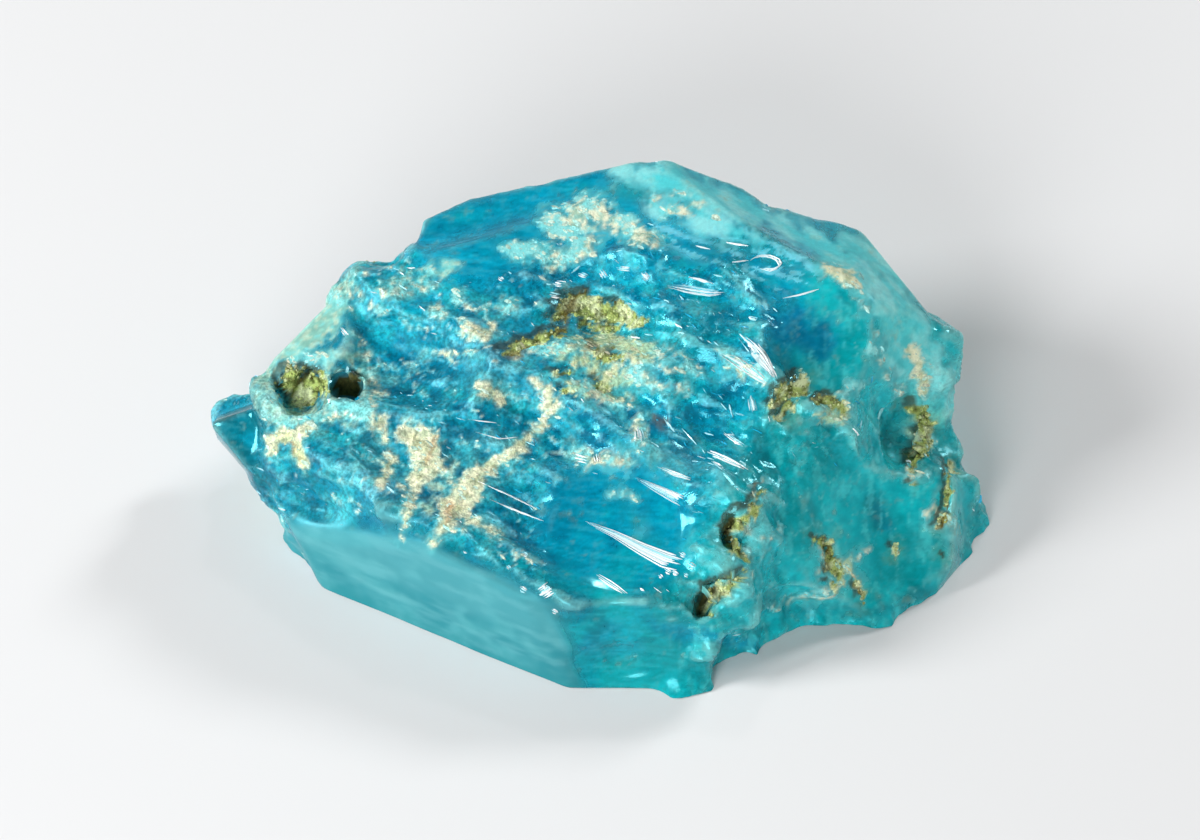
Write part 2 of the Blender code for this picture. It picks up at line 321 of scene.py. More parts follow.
def wear(mesh, passes, factor):
    """Rounds the edges by moving each point towards its neighbours."""
    bm = bmesh.new()
    bm.from_mesh(mesh)
    axes = dict(use_axis_x=True, use_axis_y=True, use_axis_z=True)
    for _ in range(passes):
        bmesh.ops.smooth_vert(bm, verts=bm.verts[:], factor=factor, **axes)
    bm.to_mesh(mesh)
    bm.free()


def roughness(points):
    """How hackly the stone is at each point: 0 on smooth faces, 1 elsewhere."""
    rough = np.ones(len(points))
    for centre, radius in SMOOTH:
        far = np.linalg.norm(points - np.array(centre), axis=1)
        rough *= smoothstep(far, 0.75 * radius, 1.15 * radius)
    facing = np.array(direction(-118, 5))
    off = np.abs((points - (-7.0, -9.12, 0.0)) @ facing)
    return rough * smoothstep(off, 0.3, 1.1)


# ---------------------------------------------------------------------------
# Where things lie on the stone. A mark is placed by where it shows when the
# stone is looked at from the front, 48 degrees above: view() turns a place on
# that picture into millimetres across and up, seat() finds it on the stone.
# ---------------------------------------------------------------------------
LIFT = math.radians(48)
TOWARD = np.array([0.0, -math.cos(LIFT), math.sin(LIFT)])
UP = np.array([0.0, math.sin(LIFT), math.cos(LIFT)])


def view(px, py):
    return (px - 565) * 0.1, (646 - py) * 0.1 + 5.35


def seat(tree, px, py):
    across, up = view(px, py)
    start = Vector((across, 0, 0)) + Vector(UP) * up + Vector(TOWARD) * 80
    point, normal, _, _ = tree.ray_cast(start, -Vector(TOWARD))
    return point, normal


def marks(points, tree, strokes, soft):
    """How far inside the strokes each point is: 0.5 on their outline.

    A stroke is a list of (px, py, half width), all in picture units of 0.1 mm.
    """
    across = points[:, 0]
    up = points @ UP
    depth = points @ TOWARD
    out = np.zeros(len(points))
    for stroke in strokes:
        line = []
        for px, py, half in stroke:
            a, b = view(px, py)
            hit, _ = seat(tree, px, py)
            line.append((a, b, half * 0.1, None if hit is None else hit @ Vector(TOWARD)))
        known = [x[3] for x in line if x[3] is not None]
        if not known:
            continue
        line = [(a, b, h, known[0] if d is None else d) for a, b, h, d in line]
        if len(line) == 1:
            line = line * 2
        reach = max(x[2] for x in line) + soft * 0.1
        low = min(min(x[0] for x in line), 99) - reach, min(x[1] for x in line) - reach
        high = max(x[0] for x in line) + reach, max(x[1] for x in line) + reach
        near = np.nonzero(
            (across > low[0]) & (across < high[0]) & (up > low[1]) & (up < high[1])
        )[0]
        if not len(near):
            continue
        best = np.zeros(len(near))
        for (a0, b0, h0, d0), (a1, b1, h1, d1) in zip(line, line[1:]):
            run = np.array([a1 - a0, b1 - b0])
            size = max(float(run @ run), 1e-9)
            t = ((across[near] - a0) * run[0] + (up[near] - b0) * run[1]) / size
            t = np.clip(t, 0, 1)
            away = np.hypot(
                across[near] - a0 - t * run[0], up[near] - b0 - t * run[1]
            )
            inside = h0 + t * (h1 - h0) - away
            value = 0.5 + inside / (2 * soft * 0.1)
            value[np.abs(depth[near] - d0 - t * (d1 - d0)) > 2.2] = 0
            best = np.maximum(best, value)
        out[near] = np.maximum(out[near], np.clip(best, 0, 1))
    return out


# cream and white crust
CRUST = [
    [(543, 533, 9), (560, 528, 11), (578, 533, 9), (590, 541, 6)],
    [(518, 546, 2.5), (530, 549, 4), (548, 551, 6), (562, 547, 6)],
    [(536, 556, 3), (550, 553, 4)],
    [(584, 537, 4), (596, 547, 3)],
    [(474, 580, 4), (478, 583, 3.5)],
    [(505, 579, 2), (520, 580, 2.5)],
    [(488, 574, 1.5)],
    [(494, 590, 4.5), (505, 593, 5)],
    [(471, 605, 1.5), (487, 606, 2.2)],
    [(493, 603, 1.5), (501, 603, 2)],
    [(452, 619, 2)],
    [(430, 592, 1.6), (435, 605, 2), (443, 616, 2.5), (447, 625, 3), (438, 633, 3), (424, 638, 3), (413, 643, 3.5), (403, 648, 3.5)],
    [(418, 604, 1.6), (409, 607, 2), (398, 610, 1.5), (391, 614, 1.5)],
    [(386, 654, 4), (394, 650, 4.5), (402, 649, 4)],
    [(385, 662, 4), (387, 656, 3)],
    [(402, 657, 4), (406, 664, 4.5)],
    [(444, 640, 3), (448, 650, 2.5), (451, 660, 1.5)],
    [(451, 664, 2.5), (447, 674, 3.5)],
    [(461, 652, 5), (472, 655, 8), (473, 666, 6), (466, 675, 4)],
    [(458, 677, 2), (464, 684, 4), (462, 694, 2.5), (459, 703, 1)],
    [(541, 632, 2.5), (535, 645, 3), (524, 655, 4.5), (513, 664, 2), (501, 671, 4), (494, 679, 7), (488, 689, 7), (482, 699, 4), (475, 712, 1)],
    [(482, 674, 2), (488, 677, 3)],
    [(495, 697, 3), (505, 701, 1.5), (513, 706, 0.8)],
    [(499, 622, 4), (507, 626, 5), (511, 633, 3)],
    [(529, 618, 2.5), (535, 624, 2.5), (536, 633, 4), (537, 643, 2.5)],
    [(520, 606, 2), (535, 603, 3), (552, 600, 4), (570, 600, 7), (588, 604, 6), (599, 606, 3)],
    [(555, 609, 5), (572, 613, 8), (590, 617, 6), (600, 622, 3), (614, 625, 2.5)],
    [(548, 622, 3), (560, 626, 6), (575, 628, 4), (584, 631, 3)],
    [(601, 606, 2), (607, 603, 2), (613, 606, 2.2), (618, 612, 2.5), (612, 615, 2), (604, 615, 2), (600, 610, 1.8)],
    [(634, 605, 3), (643, 612, 5), (655, 617, 4)],
    [(694, 559, 4.5), (701, 561, 6), (709, 565, 5)],
    [(633, 526, 2)],
    [(552, 661, 5), (560, 663, 5), (575, 663, 5.5), (582, 665, 4.5)],
    [(587, 644, 5.5), (589, 653, 5.5)],
    [(610, 526, 5), (622, 522, 3)],
    [(597, 518, 2), (612, 517, 2)],
    [(741, 606, 5), (746, 617, 5), (749, 627, 3)],
    [(689, 641, 4), (697, 640, 5), (702, 634, 3)],
    [(651, 716, 2), (647, 713, 2)],
    [(655, 673, 1.5), (653, 680, 2), (656, 685, 2)],
    [(651, 690, 2), (650, 698, 2), (647, 705, 1.6)],
    [(651, 705, 1), (658, 705, 1.2), (664, 701, 0.8)],
    [(645, 724, 2), (643, 730, 1.6)],
    [(655, 747, 1.2), (668, 741, 1.8), (684, 739, 2.2)],
    [(739, 668, 4), (745, 672, 3)],
    [(700, 626, 1), (710, 622, 1.2)],
    [(710, 571, 1), (716, 585, 1), (720, 600, 1), (724, 614, 1.6), (733, 626, 2)],
    [(463, 560, 2), (470, 557, 2), (480, 556, 1.5)],
    [(446, 570, 3), (462, 567, 3), (473, 566, 2)],
    [(421, 575, 2), (432, 572, 2)],
    [(750, 690, 4), (757, 697, 4), (762, 700, 3)],
    [(573, 683, 1), (580, 680, 1.5), (586, 686, 1)],
    [(688, 725, 2.5), (692, 731, 2.5)],
    [(687, 713, 2.5), (702, 722, 3), (700, 731, 2.5)],
    [(703, 727, 2), (712, 729, 2)],
    [(751, 655, 2.5), (738, 648, 3)],
    [(683, 741, 2), (692, 738, 2.5)],
    [(706, 717, 1.5), (712, 714, 1.5)],
]
# the thicker, yellower crust at the lower left
CREAM = [
    [(384, 655, 5), (394, 650, 5.5), (403, 648, 5)],
    [(384, 662, 4), (387, 656, 4)],
    [(401, 656, 5), (406, 664, 5)],
    [(444, 640, 3), (448, 650, 3), (451, 661, 1.5)],
    [(452, 664, 3), (447, 674, 4)],
    [(460, 651, 6), (472, 655, 10.5), (473, 667, 8), (465, 677, 5)],
    [(458, 677, 2.5), (464, 684, 4), (462, 694, 2.5), (459, 703, 1.2)],
    [(541, 632, 2.5), (535, 645, 3), (524, 655, 5), (513, 664, 2.5), (501, 671, 5), (494, 679, 8), (488, 689, 8), (482, 699, 4.5), (475, 711, 1.5)],
    [(482, 674, 2), (488, 677, 3)],
    [(495, 697, 3.5), (505, 701, 2), (513, 706, 1)],
    [(494, 590, 4), (505, 593, 5)],
    [(499, 622, 4), (507, 626, 5), (511, 633, 3)],
    [(529, 618, 2.5), (535, 624, 3), (536, 633, 4)],
    [(487, 606, 2.5), (476, 605, 2)],
    [(738, 604, 4), (742, 612, 5), (747, 624, 4)],
    [(695, 560, 4.5), (702, 562, 6), (709, 565, 4.5)],
]
# where the crust is tinged yellow-green
MOSS = [
    [(556, 592, 8), (576, 596, 9), (592, 602, 6)],
    [(548, 606, 6), (562, 612, 8), (576, 622, 7)],
    [(546, 620, 4), (556, 630, 4)],
    [(664, 636, 6), (676, 628, 6), (694, 640, 7)],
    [(742, 640, 7), (744, 660, 6)],
    [(698, 716, 6), (706, 736, 5)],
    [(392, 652, 4), (404, 662, 4)],
]
# olive and yellow grains
OLIVE = [
    [(394, 619, 7), (402, 624, 11), (411, 621, 7)],
    [(543, 585, 3), (550, 578, 5.5), (559, 576, 6), (568, 580, 5), (578, 582, 5), (588, 587, 5)],
    [(558, 588, 3), (575, 591, 4)],
    [(513, 604, 1.6), (524, 601, 3.4), (535, 598, 3.6), (544, 593, 3)],
    [(543, 617, 1.6), (550, 615, 1.8)],
    [(563, 603, 2), (570, 606, 2.5), (577, 607, 2)],
    [(566, 620, 2.5), (573, 623, 2)],
    [(545, 626, 1.5), (552, 630, 2)],
    [(663, 631, 3), (668, 625, 5), (676, 622, 5), (680, 627, 3)],
    [(666, 640, 3), (672, 634, 3)],
    [(690, 633, 4), (697, 631, 4), (701, 637, 2.5)],
    [(739, 634, 2.5), (745, 636, 4.5), (750, 643, 4), (747, 652, 3.5), (744, 661, 4), (742, 667, 2)],
    [(761, 668, 1.3), (761, 680, 1.6), (759.5, 692, 1.8), (756, 700, 2.2)],
    [(741, 677, 1.6)],
    [(656, 681, 1.4), (652, 690, 2), (643, 696, 2.5), (638, 703, 3), (640, 711, 2.8), (648, 716, 1.6)],
    [(645, 724, 1.8), (637, 731, 2.6), (627, 737, 3.2), (624, 744, 3), (627, 749, 1.5)],
    [(687, 707, 1.8), (692, 711, 3.4), (696, 718, 3.8), (697, 726, 3)],
    [(695, 734, 2.6)],
    [(708, 733, 2.2), (711, 741, 2.4)],
    [(731, 714, 1.8)],
    [(758, 719, 1)],
]
# rust and orange stains, and painted shade along the upper left edges of the olive patches
RUST_AND_SHADE = [
    [(597, 642, 2.5), (603, 644, 3)],
    [(396, 655, 2), (400, 658, 1.5)],
    [(403, 663, 1.2)],
    [(478, 650, 2), (471, 663, 2)],
    [(609, 551, 1.5)],
    [(553, 572, 2.2), (559, 570, 2)],
    [(545, 592, 2.5), (546, 583, 3), (552, 576, 3)],
    [(515, 606, 2), (526, 604, 2)],
    [(664, 633, 1.4), (665, 626, 1.4)],
    [(578, 663, 3)],
    [(487, 690, 2), (484, 697, 2)],
    [(761, 690, 2), (756, 701, 2)],
    [(692, 711, 1.8)],
    [(656, 705, 1.2)],
    [(709, 737, 2)],
    [(633, 526, 2)],
    [(742, 636, 2)],
    [(567, 606, 1.5)],
    [(606, 614, 1.2)],
]
# bright white splinters and painted glints, from the thin end to the wide end
SPLINTERS_AND_GLINTS = [
    [(559, 697, 0.6), (575, 704, 2.2), (590, 712, 3.8), (603, 718, 5.2), (611, 720, 4.6)],
    [(612, 715, 1.5)], [(617, 721, 1.8)], [(608, 725, 1.4)], [(614, 726, 1.1)],
    [(586, 673, 0.6), (598, 679, 2.2), (612, 686, 3.4)],
    [(626, 659, 1.4), (636, 663, 1.4), (648, 669, 0.5)],
    [(565, 726, 0.8), (573, 731, 1.4), (582, 737, 0.6)],
    [(635, 648, 0.8), (642, 653, 1.1), (648, 657, 0.6)],
    [(644, 594, 2.2), (651, 601, 4.2), (657, 609, 3.6), (664, 619, 1)],
    [(632, 604, 0.8), (642, 609, 2.6), (652, 616, 2.6), (659, 621, 1.4)],
    [(650, 628, 2.2), (651.5, 637, 2.4)],
    [(604, 567, 1), (616, 569, 2.2), (628, 571, 2), (636, 571, 0.8)],
    [(616, 562, 0.8), (630, 566, 0.8)],
    [(668, 574, 0.4), (678, 572, 0.8), (688, 569, 0.5)],
    [(649, 585, 1.2), (654, 586, 1.2)],
    [(637, 543, 0.8), (649, 545, 0.7)],
    [(640, 554, 0.9), (649, 553, 0.8)],
    [(650, 553, 0.7), (654, 550.5, 1.0), (661, 550.5, 0.9), (666, 553, 1.1), (667, 556, 1.3), (662, 558.5, 1.0), (655, 557, 0.7)],
    [(588, 645, 2.2), (589, 653, 3)],
    [(553, 662, 2), (560, 664, 1.6)],
    [(565, 660, 2), (566, 665, 1.6)],
    [(534, 737, 3.6), (540, 733, 4)],
    [(525, 734, 1.6)], [(542, 746, 1.4)], [(517, 722, 1)], [(526, 715, 1.1)], [(493, 714, 0.8)],
    [(535, 630, 1.8)],
    [(512, 563, 1.2)], [(517, 560, 0.8)],
    [(541, 566, 1.2), (546, 567, 0.9)], [(539, 572, 1.6), (545, 573, 1.2)],
    [(555, 560, 1.2), (560, 562, 1)], [(567, 558, 1.6), (570, 563, 1.6)], [(590, 560, 2.4), (594, 564, 2)],
    [(576, 557, 1.2), (584, 558, 1.2)],
    [(423, 590, 1), (427, 595, 1.2)],
    [(602, 640, 0.8), (608, 648, 0.8)],
    [(628, 664, 0.6), (634, 668, 1)],
    [(598, 667, 0.8), (608, 671, 1.2), (617, 674, 0.6)],
    [(640, 640, 0.8), (638, 633, 0.8)],
    [(612, 646, 0.6), (620, 655, 0.8)],
    [(604, 724, 1.4)], [(600, 727, 1)],
    [(590, 734, 0.9)],
    [(551, 560, 0.8), (556, 556, 0.8)],
    [(500, 675, 0.4), (520, 684, 0.7), (532, 690, 0.4)],
    [(504, 684, 0.4), (522, 692, 0.6), (536, 697, 0.4)],
    [(498, 648, 0.5), (512, 652, 0.6), (522, 651, 0.4)],
    [(620, 545, 0.8), (628, 547, 0.6)],
    [(494, 641, 0.5), (510, 643, 0.6)],
]
# pale, frosted ground
PALE = [
    [(414, 576, 9), (404, 592, 9), (392, 606, 7)],
    [(375, 628, 4), (384, 640, 4), (390, 650, 4)],
    [(430, 570, 5), (450, 568, 4)],
    [(612, 508, 8), (640, 516, 7), (668, 530, 6), (692, 541, 6), (712, 556, 6), (728, 572, 7), (740, 592, 9), (752, 612, 10), (760, 634, 9), (762, 655, 6)],
    [(590, 512, 4), (612, 522, 5)],
    [(727, 590, 6), (733, 615, 8), (740, 640, 8)],
    [(600, 520, 6), (640, 530, 6), (675, 545, 5)],
    [(700, 660, 10), (720, 690, 14), (700, 720, 12), (740, 720, 12), (755, 700, 8)],
    [(665, 700, 8), (672, 730, 8), (650, 745, 5)],
    [(410, 690, 8), (430, 698, 7)],
    [(456, 690, 3), (460, 706, 2)],
    [(500, 618, 6), (515, 630, 6)],
    [(596, 662, 4), (612, 669, 5)],
    [(575, 678, 5), (582, 686, 5)],
    [(590, 700, 4), (600, 704, 5)],
    [(484, 650, 6), (510, 660, 5)],
    [(440, 655, 6), (430, 665, 6)],
    [(545, 600, 8), (575, 612, 12), (600, 612, 6)],
    [(680, 622, 5), (700, 650, 7)],
    [(671, 652, 2.5), (678, 668, 3), (676, 686, 2.5)],
    [(708, 650, 2), (712, 668, 2.5)],
]
# deep, clear blue, with painted shade in a crevice near the middle
DEEP = [
    [(668, 592, 8), (680, 590, 10), (688, 598, 8)],
    [(626, 585, 4), (638, 585, 4)],
    [(704, 555, 3), (712, 554, 3)],
    [(357, 640, 6), (368, 640, 5)],
    [(500, 560, 8), (520, 566, 7), (540, 562, 5)],
    [(432, 590, 5), (440, 600, 6)],
    [(455, 610, 8), (480, 618, 7), (520, 618, 5)],
    [(520, 585, 6), (530, 592, 5)],
    [(460, 545, 3), (480, 540, 3), (510, 535, 3)],
    [(610, 540, 4), (640, 550, 5), (670, 560, 4)],
    [(540, 670, 6), (560, 680, 6), (540, 700, 8)],
    [(515, 662, 4), (526, 664, 4)],
    [(600, 640, 5), (612, 655, 6), (622, 640, 5)],
    [(520, 730, 5), (540, 742, 4), (556, 745, 6)],
    [(402, 672, 3), (410, 680, 4)],
    [(440, 686, 5), (448, 692, 5)],
    [(470, 693, 4), (476, 702, 3)],
    [(720, 690, 4), (724, 700, 4)],
    [(412, 700, 2), (440, 708, 2)],
    [(500, 720, 4), (515, 727, 3)],
    [(606, 608, 2)],
    [(480, 683, 2)],
    [(650, 765, 4), (600, 755, 4)],
    [(560, 765, 4), (570, 755, 5)],
]
# pale greenish frame round the pockets at the left, and the slope above them
FRAME = [
    [(428, 566, 5), (417, 577, 10), (406, 590, 12), (395, 602, 9)],
    [(386, 606, 4), (380, 616, 4), (380, 628, 4), (388, 638, 5)],
    [(390, 640, 4), (408, 642, 5), (424, 639, 5), (436, 637, 4)],
    [(420, 606, 4), (434, 610, 4), (441, 622, 4), (440, 634, 4)],
    [(414, 606, 3), (417, 618, 2), (416, 632, 3)],
    [(450, 566, 4), (470, 560, 4), (486, 556, 3)],
    [(474, 690, 3), (484, 668, 3)],
]
# pale band below the ridge, from the summit to the right end: frosting, with a painted reflection along the ridge
RIDGE = [
    [(580, 503, 5), (600, 505, 8), (622, 514, 9), (646, 525, 7), (670, 535, 6), (692, 546, 7), (712, 561, 9), (727, 578, 10), (740, 596, 10), (752, 614, 9), (761, 634, 7)],
    [(736, 606, 10), (746, 622, 11), (752, 640, 8)],
    [(600, 524, 6), (630, 532, 5), (655, 543, 4)],
    [(702, 542, 4), (714, 546, 6), (725, 556, 6), (734, 570, 5)],
    [(387, 696, 3), (391, 706, 5), (397, 715, 4)],
    [(763, 706, 3), (768, 714, 3)],
]
# pale streaks that sweep down to the right, between the summit and the pale band
SWEPT = [
    [(598, 516, 6), (622, 526, 8), (648, 537, 9), (672, 548, 8), (694, 560, 6)],
    [(600, 536, 4), (626, 546, 6), (650, 556, 6), (676, 566, 5)],
]
# dark, clear teal, with painted shade in a crevice near the middle
DARK = [
    [(350, 634, 8), (360, 642, 9), (372, 640, 8), (378, 648, 5)],
    [(360, 656, 6), (370, 664, 5), (380, 676, 4)],
    [(446, 692, 4), (470, 702, 4), (500, 716, 4), (530, 732, 4), (552, 748, 5)],
    [(404, 664, 4), (412, 676, 5)],
    [(566, 748, 6), (566, 762, 6)],
    [(752, 664, 3), (757, 678, 2)],
    [(662, 584, 6), (672, 590, 10), (682, 600, 10), (690, 592, 6)],
    [(664, 606, 5), (672, 614, 6)],
    [(716, 684, 3), (721, 694, 5), (718, 702, 3)],
    [(654, 656, 4), (662, 668, 4)],
    [(626, 584, 3), (636, 584, 3)],
    [(650, 758, 1), (672, 748, 1.5), (700, 746, 1.5), (728, 746, 1.5), (750, 736, 1)],
]
# thin healed cracks sealed in the clear parts: a place, how deep its middle
# lies, its half length and half width, and its lean
VEILS = [
    (361, 643, 0.9, 0.7, 0.45, 60),
    (366, 652, 1.3, 0.8, 0.5, 35),
    (498, 541, 0.9, 1.6, 0.6, 65),
    (528, 530, 1.1, 1.4, 0.6, 50),
    (560, 515, 1.0, 1.1, 0.5, 60),
    (676, 592, 1.0, 1.2, 0.6, 55),
    (690, 606, 1.4, 1.5, 0.7, 70),
    (664, 612, 1.2, 0.9, 0.5, 45),
    (556, 690, 1.1, 1.5, 0.6, 60),
    (534, 704, 1.3, 1.2, 0.6, 40),
    (575, 744, 1.0, 1.0, 0.5, 60),
    (690, 668, 1.2, 1.6, 0.7, 60),
    (716, 688, 1.3, 1.8, 0.8, 70),
    (706, 728, 1.1, 1.3, 0.6, 50),
    (738, 716, 1.0, 1.2, 0.6, 65),
    (668, 738, 0.9, 1.1, 0.5, 55),
]
# dark mouths of small holes: olive-brown, with painted shade
HOLE = [
    [(423, 620, 4), (430, 619, 4)],
    [(422, 625, 4), (431, 625, 4)],
    [(639, 696, 1.6), (636, 702, 2.2), (638, 708, 1.8)],
    [(629, 734, 1.6), (623, 740, 2.2), (621, 747, 1.8)],
    [(388, 622, 1.2), (395, 629, 1)],
    [(400, 620, 1), (406, 614, 0.8)],
    [(394, 632, 0.8)],
]


# ---------------------------------------------------------------------------
# The stone's body
# ---------------------------------------------------------------------------
def carve():
    """The lump with its bites and hollows, as an object whose mesh is exact."""
    parts = [block("rough_block", BODY_FACES)]
    body = parts[0]
    bpy.context.scene.collection.objects.link(body)

    def add(piece, operation):
        bpy.context.scene.collection.objects.link(piece)
        parts.append(piece)
        step = body.modifiers.new(piece.name, "BOOLEAN")
        step.operation, step.object = operation, piece

    add(block("spur_block", SPUR_FACES, None), "UNION")
    add(block("tongue_block", TONGUE_FACES), "UNION")
    for name, centre, radius in BITES:
        add(ball(name, centre, (radius,) * 3), "DIFFERENCE")
    tree = surface_tree(body)
    for name, x, y, half_length, half_width, depth, bearing in HOLLOWS:
        point, normal, _, _ = tree.ray_cast(Vector((x, y, 60)), Vector((0, 0, -1)))
        add(hollow(name, point, normal, half_length, half_width, depth, bearing), "DIFFERENCE")
    for name, aim, compass, half_length, half_width, depth, tilt in FLANK_HOLLOWS:
        look = direction(compass, 0)
        point, normal, _, _ = tree.ray_cast(Vector(aim) + look * 60, -look)
        add(hollow(name, point, normal, half_length, half_width, depth, tilt), "DIFFERENCE")
    return body, parts


def arrays(mesh):
    count = len(mesh.vertices)
    points, normals = np.empty(count * 3), np.empty(count * 3)
    mesh.vertices.foreach_get("co", points)
    mesh.vertex_normals.foreach_get("vector", normals)
    return points.reshape(-1, 3), normals.reshape(-1, 3)


def put(mesh, points):
    mesh.vertices.foreach_set("co", points.astype(np.float32).ravel())
    mesh.update()


def make_stone():
    body, parts = carve()
    carved = surface_tree(body)
    net = body.modifiers.new("net", "REMESH")
    net.mode, net.voxel_size, net.adaptivity = "VOXEL", NET, 0.0
    mesh = evaluated_copy(body, "stone")
    for piece in parts:
        bpy.data.objects.remove(piece)
    for v in mesh.vertices:
        v.co = carved.find_nearest(v.co)[0]
    wear(mesh, round(4 * (0.3 / NET) ** 1.3), 0.5)

    points, normals = arrays(mesh)
    rough = roughness(points)
    heave = SWELL * noise_at(points, SWELL_SIZE, 1)
    heave += RIPPLE * noise_at(points, RIPPLE_SIZE, 2)
    heave *= 0.25 + 0.75 * rough
    step, tone, ridge = fractures(
        points, HACKLE_SIZE, 5, 0.36, 0.24, (1.7, 1, 1), math.radians(-35)
    )
    heave += HACKLE * rough * step
    set_attribute(mesh, "tone_big", tone)
    set_attribute(mesh, "ridge_big", ridge)
    step, tone, ridge = fractures(
        points, SPLINTER_SIZE, 8, 0.27, 0.20, (2.2, 1, 1), math.radians(-20)
    )
    heave += SPLINTER * rough * step
    set_attribute(mesh, "tone_mid", tone)
    set_attribute(mesh, "ridge_mid", ridge)
    points += normals * heave[:, None]
    put(mesh, points)

    points, normals = arrays(mesh)
    seats = BVHTree.FromPolygons(
        [Vector(p) for p in points], [tuple(f.vertices) for f in mesh.polygons]
    )
    bent = wobble(points)
    crust = marks(bent, seats, CRUST, 4)
    olive = marks(bent, seats, OLIVE, 3)
    hole = marks(points, seats, HOLE, 2)
    step, tone, ridge = fractures(
        points, CHIP_SIZE, 21, 0.30, 0.20, (2.0, 1, 1), math.radians(-28)
    )
    set_attribute(mesh, "tone_fine", tone)
    set_attribute(mesh, "ridge_fine", ridge)
    fine = CHIP * rough * step
    step, tone, ridge = fractures(
        points, GRIT_SIZE, 33, 0.34, 0.22, (1.8, 1, 1), math.radians(-30)
    )
    set_attribute(mesh, "tone_grit", tone)
    fine += GRIT * rough * step
    fine *= 1 - 0.5 * np.clip(crust * 2 - 0.6, 0, 1)
    grain = noise_at(points, 0.35, 31)
    fine += 0.05 * np.clip(crust * 2 - 0.7, 0, 1) * (0.5 + grain)
    fine += np.clip(olive * 2 - 0.6, 0, 1) * (0.14 * grain - 0.12)
    fine -= 0.9 * hole
    points += normals * fine[:, None]
    put(mesh, points)
    wear(mesh, 1, 0.25)
    points, _ = arrays(mesh)

    shift = np.array([*ORIGIN_SHIFT, 0.0])
    low = np.array(CAD_LOW) / MM - shift + 0.004
    high = np.array(CAD_HIGH) / MM - shift - 0.004
    low[2] = -99
    points = np.clip(points, low, high)
    put(mesh, points)
    bm = bmesh.new()
    bm.from_mesh(mesh)
    made = bmesh.ops.bisect_plane(
        bm,
        geom=bm.verts[:] + bm.edges[:] + bm.faces[:],
        dist=1e-5,
        plane_co=(0, 0, 0),
        plane_no=(0, 0, -1),
        clear_outer=True,
    )
    rim = [e for e in made["geom_cut"] if isinstance(e, bmesh.types.BMEdge)]
    bmesh.ops.holes_fill(bm, edges=rim)
    bmesh.ops.recalc_face_normals(bm, faces=bm.faces[:])
    bm.to_mesh(mesh)
    bm.free()
    mesh.update()
    return mesh


def set_attribute(mesh, name, values):
    attribute = mesh.attributes.new(name, "FLOAT", "POINT")
    attribute.data.foreach_set("value", values.astype(np.float32))


def get_attribute(mesh, name):
    out = np.empty(len(mesh.vertices), np.float32)
    mesh.attributes[name].data.foreach_get("value", out)
    return out.astype(float)


def wobble(points):
    """The points moved a little, so that what is drawn on them is ragged."""
    out = points.copy()
    for size, amount, seed in ((1.6, 0.40, 3.1), (0.55, 0.22, 7.7), (0.25, 0.10, 9.3)):
        shift = Vector((seed, seed * 3, seed * 5))
        out += amount * np.array([noise.noise_vector(Vector(p) / size + shift) for p in points])
    return out


def cloud(points, size, octaves, seed, stretch=(1, 1, 1), turn=0.0):
    """Layered noise from 0 to 1, with a mean near a half."""
    c, s = math.cos(turn), math.sin(turn)
    spin = np.array([[c, s, 0], [-s, c, 0], [0, 0, 1]])
    p = (points @ spin.T) / np.array(stretch)
    out = np.zeros(len(p))
    for i in range(octaves):
        out += 0.62**i * noise_at(p, size / 2.05**i, seed + 11 * i)
    return np.clip(0.5 + 0.62 * out, 0, 1)


def hidden_spots(points, normals, seed, count, size):
    """Seeded spots on the sides that face away from the front."""
    rng = np.random.RandomState(seed)
    facing = normals @ TOWARD
    away = np.nonzero((facing < 0.0) & (points[:, 2] > 0.6))[0]
    out = np.zeros(len(points))
    middles = points[rng.choice(away, max(2, count // 5))]
    for k in range(count):
        reach = np.linalg.norm(points[away] - middles[k % len(middles)], axis=1)
        i = rng.choice(away[reach < 2.6])
        radius = rng.uniform(*size)
        stretch = rng.uniform(0.35, 1.0, 3)
        gap = np.linalg.norm((points - points[i]) / stretch, axis=1)
        out = np.maximum(out, np.clip(0.5 + (radius - gap) / (1.2 * radius), 0, 1))
    return out * (1 - smoothstep(facing, 0.05, 0.35))


def bulge(mesh, points, normals, passes):
    """How far each point stands out of its neighbourhood, in millimetres."""
    pairs = np.empty(2 * len(mesh.edges), np.int32)
    mesh.edges.foreach_get("vertices", pairs)
    a, b = pairs.reshape(-1, 2).T
    count = np.bincount(a, minlength=len(points)) + np.bincount(b, minlength=len(points))
    soft = points.copy()
    for _ in range(passes):
        total = [
            np.bincount(a, soft[b, i], len(points)) + np.bincount(b, soft[a, i], len(points))
            for i in range(3)
        ]
        soft = 0.5 * soft + 0.5 * np.array(total).T / np.maximum(count, 1)[:, None]
    return np.einsum("ij,ij->i", points - soft, normals)


def blend(a, b, share):
    """Colour a where the share is 0, colour b where it is 1."""
    share = np.clip(share, 0, 1)[:, None]
    return np.asarray(a, float) * (1 - share) + np.asarray(b, float) * share


